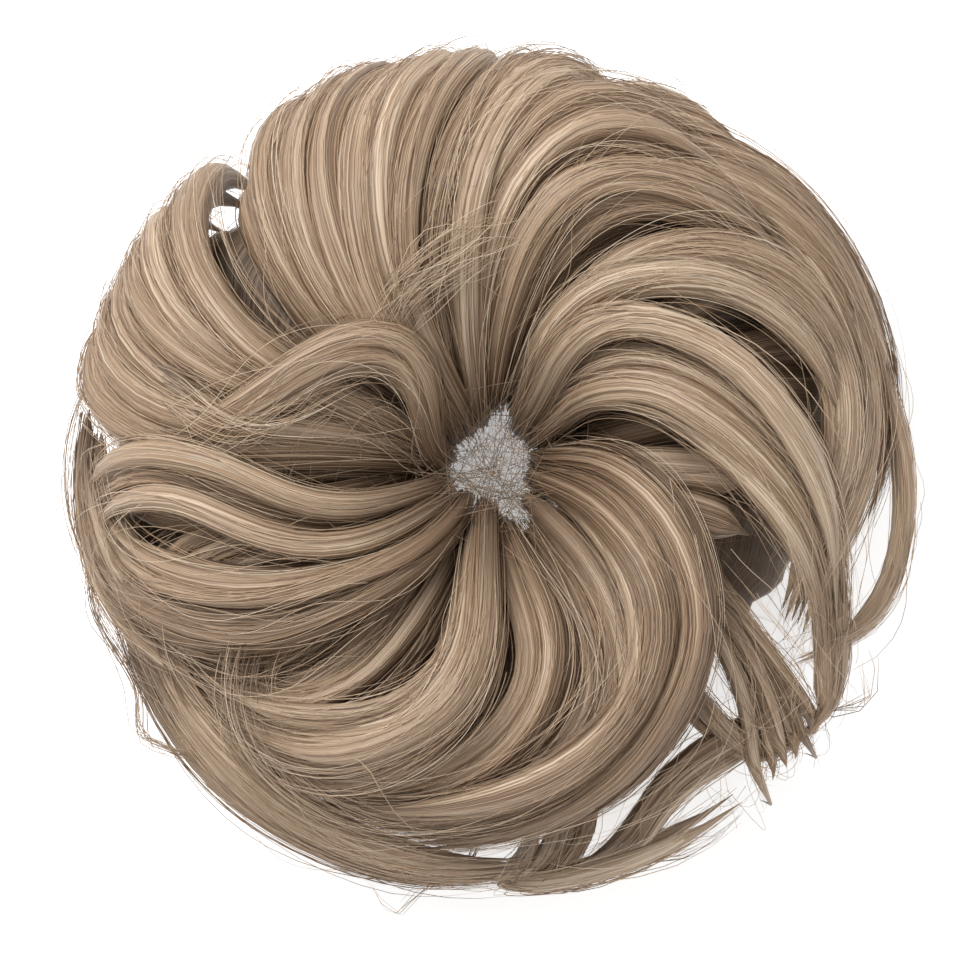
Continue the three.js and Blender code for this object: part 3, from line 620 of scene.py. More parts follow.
@dataclass(frozen=True)
class FibreColour:
    """The node group that colours hair: a tone for each strand, streaks, and darker roots."""

    dark: tuple[int, int, int] = (96, 74, 55)
    middle: tuple[int, int, int] = (172, 144, 116)
    light: tuple[int, int, int] = (232, 214, 190)
    root: tuple[int, int, int] = (94, 70, 52)
    streak_width: float = 0.24 * MM
    streak_length: float = 60 * MM
    root_reach: float = 0.28
    root_mix: float = 0.3
    broad_width: float = 5.0
    broad_weight: float = 0.6
    streak_mean: float = 0.8
    least_rough: float = 0.3
    rough_span: float = 0.3

    def streaks(self, nodes: "NodeTree", flow: bpy.types.NodeSocket, width: float,
                detail: float) -> bpy.types.NodeSocket:
        """Adds noise that is narrow across the fibre and long along it.

        Args:
            nodes: the tree.
            flow: the flow vector.
            width: of a streak.
            detail: of the noise.

        Returns:
            The noise, 0 to 1.
        """
        stretch = nodes.add("ShaderNodeVectorMath", operation="MULTIPLY")
        stretch.inputs[1].default_value = (1 / width, 1 / self.streak_length, 1)
        nodes.join(flow, stretch.inputs[0])
        noise = nodes.add("ShaderNodeTexNoise")
        noise.inputs["Scale"].default_value = 1
        noise.inputs["Detail"].default_value = detail
        nodes.join(stretch.outputs[0], noise.inputs["Vector"])
        return noise.outputs["Fac"]

    def build(self) -> bpy.types.ShaderNodeTree:
        """Makes the group.

        The colour runs from dark over middle to light with the tone, which the streaks move.
        It is mixed to the root's colour near the roots, and scaled by the painted shade that is the
        fibre's third value.

        Returns:
            The group, with Fibre, Flow and Streak in, and Color, Roughness and Height out.
        """
        group = bpy.data.node_groups.new("fibre_colour", "ShaderNodeTree")
        sockets = (
            ("INPUT", (("Fibre", "Vector"), ("Flow", "Vector"), ("Streak", "Float"))),
            ("OUTPUT", (("Color", "Color"), ("Roughness", "Float"), ("Height", "Float"))),
        )
        for side, named in sockets:
            for name, kind in named:
                group.interface.new_socket(name, in_out=side, socket_type=f"NodeSocket{kind}")
        nodes = NodeTree(group)
        entry = nodes.add("NodeGroupInput")
        leave = nodes.add("NodeGroupOutput")
        parts = nodes.add("ShaderNodeSeparateXYZ")
        nodes.join(entry.outputs["Fibre"], parts.inputs[0])
        fine = self.streaks(nodes, entry.outputs["Flow"], self.streak_width, 2.0)
        width = self.broad_width * self.streak_width
        broad = self.streaks(nodes, entry.outputs["Flow"], width, 1.0)
        both = nodes.math("ADD", fine, nodes.math("MULTIPLY", broad, self.broad_weight))
        centred = nodes.math("SUBTRACT", both, self.streak_mean)
        moved = nodes.math("MULTIPLY_ADD", centred, entry.outputs["Streak"], parts.outputs["X"])
        ramp = nodes.add("ShaderNodeValToRGB")
        ramp.color_ramp.elements[0].color = linear(*self.dark)
        ramp.color_ramp.elements[1].color = linear(*self.light)
        ramp.color_ramp.elements.new(0.5).color = linear(*self.middle)
        nodes.join(moved, ramp.inputs["Fac"])
        rooted = nodes.add("ShaderNodeMix", data_type="RGBA")
        rooted.inputs[6].default_value = linear(*self.root)
        nodes.join(ramp.outputs["Color"], rooted.inputs[7])
        near = nodes.math("DIVIDE", parts.outputs["Y"], self.root_reach)
        held = nodes.math("MAXIMUM", nodes.math("MINIMUM", near, 1.0), self.root_mix)
        nodes.join(held, rooted.inputs["Factor"])
        shade = nodes.add("ShaderNodeVectorMath", operation="SCALE")
        nodes.join(rooted.outputs[2], shade.inputs[0])
        nodes.join(parts.outputs["Z"], shade.inputs["Scale"])
        nodes.join(shade.outputs[0], leave.inputs["Color"])
        rough = nodes.math("MULTIPLY_ADD", broad, self.rough_span, self.least_rough)
        nodes.join(rough, leave.inputs["Roughness"])
        nodes.join(fine, leave.inputs["Height"])
        return group


@dataclass(frozen=True)
class HairFinish:
    """Hair fibre, for strands and, with grooves, for the bodies under them."""

    name: str
    streak: float = 0.3
    grooves: float = 0.0
    groove_depth: float = 0.25 * MM
    specular: float = 0.5

    def build(self, colour: bpy.types.ShaderNodeTree) -> bpy.types.Material:
        """Makes the material.

        Args:
            colour: the fibre colour group.

        Returns:
            The material.
        """
        material, shader = new_material(self.name)
        nodes = NodeTree(material.node_tree)
        shader.inputs["Specular IOR Level"].default_value = self.specular
        tint = nodes.add("ShaderNodeGroup")
        tint.node_tree = colour
        tint.inputs["Streak"].default_value = self.streak
        for socket, layer in (("Fibre", "fibre"), ("Flow", "flow")):
            source = nodes.add("ShaderNodeAttribute", attribute_name=layer)
            nodes.join(source.outputs["Vector"], tint.inputs[socket])
        nodes.join(tint.outputs["Color"], shader.inputs["Base Color"])
        nodes.join(tint.outputs["Roughness"], shader.inputs["Roughness"])
        if self.grooves:
            bump = nodes.add("ShaderNodeBump")
            bump.inputs["Strength"].default_value = self.grooves
            bump.inputs["Distance"].default_value = self.groove_depth
            nodes.join(tint.outputs["Height"], bump.inputs["Height"])
            nodes.join(bump.outputs["Normal"], shader.inputs["Normal"])
        return material


@dataclass(frozen=True)
class ThreadFinish:
    """Covered elastic or sewn tape: ribs round the ring's axis, in a plain matte colour."""

    name: str
    colour: tuple[int, int, int]
    ribs: int = 220
    rib_height: float = 0.3 * MM
    depth: float = 0.5
    roughness: float = 0.85
    shade: float = 0.45

    def build(self) -> bpy.types.Material:
        """Makes the material.

        The ribs are a sine of the place along the thread, which is the fibre's second value, and the
        colour darkens in their hollows as painted shade.

        Returns:
            The material.
        """
        material, shader = new_material(self.name)
        nodes = NodeTree(material.node_tree)
        shader.inputs["Roughness"].default_value = self.roughness
        fibre = nodes.add("ShaderNodeAttribute", attribute_name="fibre")
        parts = nodes.add("ShaderNodeSeparateXYZ")
        nodes.join(fibre.outputs["Vector"], parts.inputs[0])
        angle = nodes.math("MULTIPLY", parts.outputs["Y"], 2 * np.pi * self.ribs)
        wave = nodes.math("SINE", angle)
        ramp = nodes.add("ShaderNodeValToRGB")
        bright = linear(*self.colour)
        # The dark end of the ramp is the ribs' hollows: painted shade.
        ramp.color_ramp.elements[0].color = (*(self.shade * c for c in bright[:3]), 1.0)
        ramp.color_ramp.elements[1].color = bright
        nodes.join(nodes.math("MULTIPLY_ADD", wave, 0.5, 0.5), ramp.inputs["Fac"])
        nodes.join(ramp.outputs["Color"], shader.inputs["Base Color"])
        bump = nodes.add("ShaderNodeBump")
        bump.inputs["Strength"].default_value = self.depth
        bump.inputs["Distance"].default_value = self.rib_height
        nodes.join(wave, bump.inputs["Height"])
        nodes.join(bump.outputs["Normal"], shader.inputs["Normal"])
        return material


@dataclass
class Lines:
    """Lines to carry locks and strands along, with what each one needs to know of its lock."""

    share: np.ndarray
    shift: np.ndarray
    tone: np.ndarray

    def pick(self, lock: np.ndarray) -> "Lines":
        """The lines of some locks, in any order and number."""
        return Lines(self.share[lock], self.shift[lock], self.tone[lock])


@dataclass(frozen=True)
class BodyShape:
    """A lock's body: shares of the lock's size and length, and the ridges round it."""

    corners: int = 12
    spacing: float = 11 * MM
    width: float = 0.43
    thickness: float = 0.4
    start: float = 0.005
    length: float = 0.96
    tip: float = 0.03
    blunt: float = 0.15
    opening: float = 10.0
    # The bodies' painted shade, as a share of their colour, under the strands.
    shade: float = 0.86
    drift: float = 2.5
    ridges: tuple[tuple[int, float], ...] = ((2, 0.05), (3, 0.07), (5, 0.06))


@dataclass(frozen=True)
class StrandShape:
    """The strands on a lock: how many, how thick, and how far each strays from the others."""

    a_width: int = 46
    fewest: int = 8
    hidden_share: float = 0.17
    spacing: float = 9.6 * MM
    radius: float = 0.085 * MM
    radius_span: tuple[float, float] = (0.6, 1.4)
    start: float = 0.02
    most_shortened: float = 0.6
    bridging: float = 0.3
    bridge_span: tuple[float, float] = (-0.1, 1.1)
    place: float = 0.9
    place_spread: float = 0.1
    place_limit: float = 0.5
    angle_spread: float = 1.0
    twist: float = 0.9
    root_wander: float = 0.3
    point_span: float = 0.2
    point_size: float = 0.25
    tone_lift: float = 0.01
    tone_spread: float = 0.1
    side_shade: float = 0.66
    crown_shade: float = 0.34
    shade_bend: float = 0.8


@dataclass(frozen=True)
class FlyawayShape:
    """The loose strands over the locks: how long they are and how far they rise and stray."""

    count: int = 800
    radius: float = 0.055 * MM
    spacing: float = 7.2 * MM
    latest_start: float = 0.45
    length: tuple[float, float] = (0.4, 0.8)
    spread: tuple[float, float, float] = (5, 0.035, 0.12)
    lift: float = 0.3
    wander: float = 2.4 * MM
    rise: float = 1.2 * MM
    ripple: float = 0.08
    share_span: tuple[float, float] = (-0.2, 1.2)
    past_root: float = 0.2
    tone: tuple[float, float] = (0.4, 0.85)


@dataclass(frozen=True)
class HoleShape:
    """The fine strands over the hole."""

    count: int = 280
    places: int = 12
    radius: float = 0.04 * MM
    turn_spread: float = 0.8
    reach: float = 0.3
    lift: float = 1 * MM
    spread: float = 7 * MM
    sag: tuple[float, float] = (-14 * MM, 4 * MM)
    tone: tuple[float, float] = (0.05, 0.5)


@dataclass
class HairRing:
    """The locks: bodies and the strands on them, flyaway strands, and the hair inside."""

    ring: Ring
    lock_width: float = 12.5 * MM
    body: BodyShape = BodyShape()
    strand: StrandShape = StrandShape()
    flyaway: FlyawayShape = FlyawayShape()
    hole: HoleShape = HoleShape()
    bend_length: float = 25 * MM
    fine_steps: int = 20
    # The hair inside: its low tone and its third value of 0.5 darken it, painted shade for the
    # hollows.
    inner_fibre: tuple[float, float, float] = (0.34, 0.5, 0.5)
    inner_sink: float = 8.5 * MM
    grooves: int = 40
    groove_slant: int = 3
    groove_depth: float = 0.9 * MM
    thin_place: float = 320.0
    thin_span: float = 26.0
    thin_sink: float = 12 * MM
    open_length: float = 0.4
    open_margin: float = 4.0
    root_size: float = 0.62
    tip_size: float = 0.14
    taper_span: float = 0.3
    rim_tip_span: float = 0.16
    under_rim: float = 1.2
    usual_tone: float = 0.47
    # How much the rank lightens a raised lock and darkens a sunk one: painted light and shade.
    rank_shading: float = 0.09
    tone_spread: float = 0.04
    stray_span: tuple[float, float] = (0.004, 0.25)
    slow_pace: tuple[float, float] = (3, 6)
    ripple_pace: tuple[float, float] = (10, 9)
    underside_locks: int = 24
    lower_locks: int = 26
    full_stray_width: float = 0.7
    stray_turn: float = 1.2
    stray_reach: float = 0.012
    stray_lift: float = 0.12
    rank_lift: float = 0.45
    rim_start: float = 0.6

    def size_along(self, fan: Fan, along: np.ndarray, tip: float) -> np.ndarray:
        """A lock's size along it, as a share: it widens from the root and narrows to the tip.

        Locks that go round the rim stay wide until they are under it.

        Args:
            fan: the fan.
            along: places along the lock, 0 to 1.
            tip: the size of the tip.

        Returns:
            The size, in the shape of `along`.
        """
        rounds_rim = fan.stations[-1][1] > self.under_rim
        span = self.rim_tip_span if rounds_rim else self.taper_span
        rooted = self.root_size + (1 - self.root_size) * smooth(along / self.taper_span)
        tipped = tip + (1 - tip) * smooth((1 - along) / span)
        return np.minimum(rooted, tipped)

    def underside(self) -> Fan:
        """The locks that run from the weft out to the rim under the ring, all alike."""
        reach = (1.8, 1.68, 1.55, 1.42, 1.28, 1.13)
        sweep = np.linspace(11, -11, len(reach))
        last = 360 * (1 - 1 / self.underside_locks)
        rows = tuple((float(s), r, float(s + last), r, 0.0) for s, r in zip(sweep, reach))
        return Fan("underside", Region.UNDERSIDE, self.underside_locks, width=1.6,
                   stations=rows, tone=-0.04)

    def lower_layer(self) -> Fan:
        """Sunk locks all round from the hole to the rim, which show in the hollows."""
        reach = (ROOT, 0.22, 0.45, 0.66, 0.82, 0.95, 1.08, 1.3)
        sweep = (0, 1, 0, -4, -10, -18, -26, -32)
        lift = (-0.6, -0.6, -0.6, -0.7, -0.9, -1.2, -1.3, -1.2)
        last = 360 * (1 - 1 / self.lower_locks)
        rows = tuple((s, r, s + last, r, up) for s, r, up in zip(sweep, reach, lift))
        # Their darker tone is painted shade, where they show in the hollows.
        return Fan("lower", Region.UNDERSIDE, self.lower_locks, width=0.75,
                   stations=rows, tone=-0.16, loose=1.5)

    def station_curve(self, fan: Fan, lines: Lines,
                      along: np.ndarray) -> tuple[np.ndarray, np.ndarray]:
        """Middle lines in a fan and the way out of the ring there.

        A spline passes through the stations in turn, roll and lift, each of them part of the
        way from the fan's first edge to its last.

        Args:
            fan: the fan.
            lines: the share of the way and the shift of each line.
            along: places along each line, lines by places.

        Returns:
            Points and normals, lines by places by 3.
        """
        rows = np.array(fan.stations)
        mix = lines.share[:, None]
        turn = np.radians(rows[:, 0] * (1 - mix) + rows[:, 2] * mix + lines.shift[..., 0])
        reach = rows[:, 1] * (1 - mix) + rows[:, 3] * mix + lines.shift[..., 1]
        lift = (rows[:, 4] + lines.shift[..., 2]) * self.ring.lock_thickness
        roll, lift = self.ring.roll_and_lift(reach, lift)
        weights = spline_weights(len(rows), along)
        turn, roll, lift = (np.einsum("lpk,lk->lp", weights, v) for v in (turn, roll, lift))
        return self.ring.points(turn, roll, lift), self.ring.normals(turn, roll)

    def lock_lines(self, fan: Fan, rng: np.random.Generator) -> Lines:
        """The locks of a fan: spread evenly between its edges, then strayed a little.

        Each lock has a rank that raises or sinks it up to near the rim, and a sunk one is darker and
        a raised one lighter, as painted shade and light.
        Strays are means of three draws in turn, and those in reach shrink at the hole and the
        rim, where a little reach is a long way round the section. Thin locks stray less.

        Args:
            fan: the fan.
            rng: the source of the draws.

        Returns:
            One line a lock.
        """
        share = np.linspace(0, 1, fan.locks) if fan.locks > 1 else np.array([0.5])
        size = (fan.locks, len(fan.stations) + 2, 3)
        shift = rng.normal(0, 1, size) * (self.stray_turn, self.stray_reach, self.stray_lift)
        shift = (shift[:, :-2] + shift[:, 1:-1] + shift[:, 2:]) / np.sqrt(3)
        shift *= min(fan.width / self.full_stray_width, 1)
        rank = rng.uniform(-1, 1, fan.locks)
        reach = np.array(fan.stations)[:, (1, 3)].mean(axis=1)
        shift[..., 1] *= 2 * np.sqrt(np.clip(np.abs(reach * (1 - reach)), *self.stray_span))
        inner = 1 - smooth((reach - self.rim_start) / (1 - self.rim_start))
        shift[..., 2] += self.rank_lift * rank[:, None] * inner
        own = rng.normal(0, self.tone_spread, fan.locks)
        # The rank's share of the tone is painted light and shade: a sunk lock is darker.
        tone = self.usual_tone + fan.tone + self.rank_shading * rank + own
        return Lines(share, shift, tone)

    def open_end(self, fan: Fan, lines: Lines) -> np.ndarray:
        """How far along each lock goes: those below the others stop short of the open spans.

        Args:
            fan: the fan.
            lines: the fan's locks.

        Returns:
            The share of its length that each lock has.
        """
        if fan.region is not Region.UNDERSIDE:
            return np.ones(len(lines.share))
        rows = np.array(fan.stations)
        first, _, last, *_ = rows[np.abs(rows[:, 1] - 1).argmin()]
        turn = (first + (last - first) * lines.share)[:, None]
        low, high = np.array(OPEN_SPANS).T
        past_low = (turn - low + self.open_margin) % 360
        within = past_low < high - low + 2 * self.open_margin
        return np.where(within.any(axis=1), self.open_length, 1.0)

    def even_places(self, fan: Fan, spacing: float) -> np.ndarray:
        """Places along a fan at even steps of its length, and closer where it bends.

        The middle line is measured on a fine grid, where a step costs its length and its bend
        times the bend's length, and places lie at even steps of that cost.

        Args:
            fan: the fan.
            spacing: the cost between places, in metres.

        Returns:
            The places, from 0 to 1.
        """
        fine = np.linspace(0, 1, self.fine_steps * len(fan.stations))
        middle = Lines(np.array([0.5]), np.zeros((1, len(fan.stations), 3)), np.zeros(1))
        steps = np.diff(self.station_curve(fan, middle, fine[None])[0][0], axis=0)
        heading = unit(steps)
        bend = np.arccos(np.clip((heading[1:] * heading[:-1]).sum(axis=1), -1, 1))
        cost = np.linalg.norm(steps, axis=1) + self.bend_length * np.append(0, bend)
        total = np.append(0, np.cumsum(cost))
        places = max(int(np.ceil(total[-1] / spacing)) + 1, 2 * len(fan.stations))
        return np.interp(np.linspace(0, total[-1], places), total, fine)

    def bodies(self, fan: Fan, lines: Lines, rng: np.random.Generator, into: Surface) -> None:
        """Adds a body for each lock: a flattened tube with ridges that turn slowly along it.

        The section's half sizes are scaled by 1 plus three small cosines of whole multiples of the
        angle round it, each with a phase that moves along the lock.

        Args:
            fan: the fan.
            lines: the fan's locks.
            rng: the source of the draws.
            into: the surface that they are added to.
        """
        shape, count = self.body, len(lines.share)
        even = self.even_places(fan, shape.spacing)
        along = np.repeat(even[None], count, axis=0)
        reach = self.open_end(fan, lines)[:, None]
        path, normal = self.station_curve(fan, lines, (shape.start + shape.length * along) * reach)
        angle = 2 * np.pi * np.arange(shape.corners) / shape.corners
        phase = rng.uniform(0, 2 * np.pi, (3, count, 1, 1))
        drift = rng.normal(0, shape.drift, (3, count, 1, 1)) * along[..., None]
        ridge = 1 + sum(
            depth * np.cos(times * angle + phase[i] + drift[i])
            for i, (times, depth) in enumerate(shape.ridges)
        )
        opening = smooth(shape.opening * along + shape.blunt)
        size = (self.size_along(fan, along, shape.tip) * opening)[..., None] * ridge
        wide = shape.width * fan.width * self.lock_width * size
        thick = np.minimum(shape.thickness * self.ring.lock_thickness * size, wide)
        tone = np.repeat(lines.tone[:, None], len(even), axis=1)
        fibre = np.stack([tone, along, np.full_like(along, shape.shade)], axis=-1)
        into.tubes(path, normal, wide, thick, fibre)

    def in_section(self, fan: Fan, lines: Lines, along: np.ndarray, size: np.ndarray,
                   angle: np.ndarray, radius: np.ndarray) -> tuple[np.ndarray, ...]:
        """Lines that keep their place in a lock's section, and the way out of the lock there.

        The place is a point of the unit disc that is scaled by the lock's half sizes.

        Args:
            fan: the fan.
            lines: one lock's line for each line.
            along: places along each line, lines by places.
            size: the lock's size there, as a share, the same shape.
            angle: of the point of the disc, in radians, the same shape.
            radius: of the point of the disc, one for each line.

        Returns:
            Points, the ways out and the ways to the side, lines by places by 3.
        """
        path, normal = self.station_curve(fan, lines, along)
        side = unit(np.cross(normal, unit(np.gradient(path, axis=1))))
        half_width = 0.5 * fan.width * self.lock_width
        half_thickness = min(0.5 * self.ring.lock_thickness, half_width)
        across = radius[:, None] * np.cos(angle) * size * half_width
        above = radius[:, None] * np.sin(angle) * size * half_thickness
        path = path + side * across[..., None] + normal * above[..., None]
        up = unit(normal * np.sin(angle)[..., None] + 0.5 * side * np.cos(angle)[..., None])
        return path, up, side

    def wander(self, path: np.ndarray, side: np.ndarray, up: np.ndarray, along: np.ndarray,
               size: np.ndarray, rng: np.random.Generator, ripple: float = 0.3) -> np.ndarray:
        """Moves each line by slow sines of its own, to the side and out.

        Args:
            path, side, up: lines by places by 3.
            along: places along each line, lines by places.
            size: of the wander, in metres, in the shape of `along`.
            rng: the source of the draws.
            ripple: how large the quicker sines are beside the slow ones.

        Returns:
            The moved lines.
        """
        phase = rng.uniform(0, 2 * np.pi, (4, len(path), 1))
        pace = rng.uniform(*self.slow_pace, (2, len(path), 1))
        quick = self.ripple_pace
        across = np.sin(pace[0] * along + phase[0]) + ripple * np.sin(quick[0] * along + phase[1])
        above = np.sin(pace[1] * along + phase[2]) + ripple * np.sin(quick[1] * along + phase[3])
        return path + side * (size * across)[..., None] + up * (0.5 * size * above)[..., None]

    def shading(self, angle: np.ndarray) -> np.ndarray:
        """How light a strand is by its angle in the lock's section: darker down its sides.

        Args:
            angle: radians, with the crown at half pi.

        Returns:
            Shares of painted shade, as a column.
        """
        shape = self.strand
        crown = np.clip(np.sin(angle), 0, 1) ** shape.shade_bend
        return (shape.side_shade + shape.crown_shade * crown)[:, None]

    def strands(self, fan: Fan, lines: Lines, rng: np.random.Generator, into: Surface) -> None:
        """Adds the fine strands of each lock of a fan, and some that bridge from lock to lock.

        A strand keeps its place in the lock's section, which turns slowly along the lock, and
        wanders more towards its tip.

        Args:
            fan: the fan.
            lines: the fan's locks.
            rng: the source of the draws.
            into: the surface that they are added to.
        """
        shape = self.strand
        seen = shape.hidden_share if fan.region is Region.UNDERSIDE else 1.0
        each = max(round(seen * shape.a_width * fan.width), shape.fewest)
        count = fan.locks * each
        lock = np.repeat(np.arange(fan.locks), each)
        picked = lines.pick(lock)
        local = self.even_places(fan, shape.spacing)
        start = rng.uniform(0, shape.start, count)
        shorter = np.minimum(np.abs(rng.normal(0, fan.uneven, count)), shape.most_shortened)
        whole = self.open_end(fan, picked)
        end = (1 - shorter) * whole
        along = start[:, None] + (end - start)[:, None] * local
        narrow = self.size_along(fan, along / whole[:, None], self.tip_size)
        bridge = rng.uniform(0, 1, count) < shape.bridging
        between = rng.uniform(*shape.bridge_span, count)
        share = np.where(bridge, between, picked.share)
        mean = lines.shift.mean(axis=0)
        shift = np.where(bridge[:, None, None], mean, picked.shift)
        angle = rng.normal(np.pi / 2, shape.angle_spread, count)
        out = np.minimum(rng.exponential(shape.place_spread, count), shape.place_limit)
        twist = rng.normal(0, shape.twist, fan.locks)[lock]
        turned = angle[:, None] + twist[:, None] * (along - 0.5)
        moved = Lines(share, shift, picked.tone)
        path, up, side = self.in_section(fan, moved, along, narrow, turned, shape.place + out)
        size = rng.exponential(1.0, (count, 1)) * fan.loose * MM * (shape.root_wander + along)
        path = self.wander(path, side, up, along, size, rng)
        path[..., 2] = np.maximum(path[..., 2], shape.radius)
        tip = np.clip((1 - local) / shape.point_span, shape.point_size, 1)
        half = shape.radius * rng.uniform(*shape.radius_span, (count, 1)) * tip
        half = np.repeat(half[..., None], 3, axis=2)
        own = rng.normal(shape.tone_lift, shape.tone_spread, count)
        tone = np.clip(picked.tone + own, 0, 1)[:, None]
        fibre = np.stack(np.broadcast_arrays(tone, along, self.shading(angle)), axis=-1)
        into.tubes(path, up, half, half, fibre)

    def loose_strands(self, rng: np.random.Generator, into: Surface) -> None:
        """Adds flyaway strands: long lines of the fans that rise off them and come back.

        The rise and the wander are both times the sine of half a turn along the strand, so
        that its ends lie among the others.

        Args:
            rng: the source of the draws.
            into: the surface that they are added to.
        """
        shape = self.flyaway
        each = np.array([fan.locks * fan.width * fan.loose for fan in FANS], float)
        counts = np.round(shape.count * each / each.sum()).astype(int)
        for fan, count in zip(FANS, counts):
            local = self.even_places(fan, shape.spacing)
            arch = np.sin(np.pi * local)
            start = rng.uniform(0, shape.latest_start, count)
            end = np.minimum(start + rng.uniform(*shape.length, count), 1)
            along = start[:, None] + (end - start)[:, None] * local
            shift = rng.normal(0, 1, (count, 1, 3)) * shape.spread + (0, 0, shape.lift)
            share = rng.uniform(*shape.share_span, count)
            lines = Lines(share, shift, rng.uniform(*shape.tone, count))
            path, normal = self.station_curve(fan, lines, along)
            side = unit(np.cross(normal, unit(np.gradient(path, axis=1))))
            far = rng.exponential(shape.wander, (count, 1)) * arch
            path = self.wander(path, side, normal, local + 0 * along, far, rng, shape.ripple)
            path += normal * (rng.exponential(shape.rise, (count, 1)) * arch)[..., None]
            path[..., 2] = np.maximum(path[..., 2], shape.radius)
            half = np.full((count, len(local), 3), shape.radius)
            place = along + shape.past_root
            parts = np.broadcast_arrays(lines.tone[:, None], place, np.ones((1, 1)))
            into.tubes(path, normal, half, half, np.stack(parts, axis=-1))

    def across_hole(self, rng: np.random.Generator, into: Surface) -> None:
        """Adds fine strands over the hole: each a parabola from side to side that sags in it.

        Args:
            rng: the source of the draws.
            into: the surface that they are added to.
        """
        shape, count = self.hole, self.hole.count
        local = np.linspace(0, 1, shape.places)[:, None]
        turn = rng.uniform(0, 2 * np.pi, count)
        turns = np.stack([turn, turn + rng.normal(np.pi, shape.turn_spread, count)])
        reach = rng.uniform(0, shape.reach, (2, count))
        roll, lift = self.ring.roll_and_lift(reach, np.full_like(reach, shape.lift))
        first, last = self.ring.points(turns, roll, lift)
        middle = (first + last) / 2 + rng.normal(0, shape.spread, (count, 3))
        middle[:, 2] = np.minimum(first[:, 2], last[:, 2]) + rng.uniform(*shape.sag, count)
        path = (
            (1 - local) ** 2 * first[:, None]
            + 2 * local * (1 - local) * middle[:, None]
            + local**2 * last[:, None]
        )
        up = np.zeros_like(path) + (0, 0, 1)
        half = np.full((count, shape.places, 3), shape.radius)
        tone = rng.uniform(*shape.tone, (count, 1)) * np.ones(shape.places)
        parts = [tone, np.ones_like(tone), np.ones_like(tone)]
        into.tubes(path, up, half, half, np.stack(parts, axis=-1))

    def inside(self, into: Surface) -> None:
        """Adds the hair inside: the ring sunk below the locks, with grooves that turn round it.

        The sink is moved by a cosine of the angle round the ring plus part of that round the
        section, so that the grooves slant as the locks do. A bell curve round the ring sinks
        it more where the locks part and the floor shows.

        Args:
            into: the surface that it is added to.
        """
        turn, roll = around_both(120, 24)
        groove = self.groove_depth * np.cos(self.grooves * turn + self.groove_slant * np.cos(roll))
        away = (np.degrees(turn) - self.thin_place + 180) % 360 - 180
        thin = self.thin_sink * np.exp(-((away / self.thin_span) ** 2))
        points = self.ring.points(turn, roll, groove - self.inner_sink - thin)
        # The inner fibre darkens this ring: painted shade where the hollows show it.
        into.loop(points, np.zeros_like(points) + self.inner_fibre)

    def build(self) -> int:
        """Makes every hair piece.

        Returns:
            How many triangles they have in all.
        """
        rng = np.random.default_rng(SEED)
        colour = FibreColour().build()
        strand_finish = HairFinish("hair_strand", streak=0.4).build(colour)
        body_finish = HairFinish("hair_body", streak=1.7, grooves=0.8).build(colour)
        regions = {region: Surface() for region in Region}
        bodies = Surface()
        for fan in (*FANS, self.underside(), self.lower_layer()):
            lines = self.lock_lines(fan, rng)
            if fan.bodied:
                self.bodies(fan, lines, rng, bodies)
            self.strands(fan, lines, rng, regions[fan.region])
        self.inside(bodies)
        flyaway = Surface()
        self.loose_strands(rng, flyaway)
        self.across_hole(rng, flyaway)
        total = bodies.piece("hair_lock_bodies", body_finish, "hair", "hair")
        total += flyaway.piece("hair_flyaway", strand_finish, "hair", "hair")
        for region, surface in regions.items():
            total += surface.piece(region.value, strand_finish, "hair", "hair")
        return total


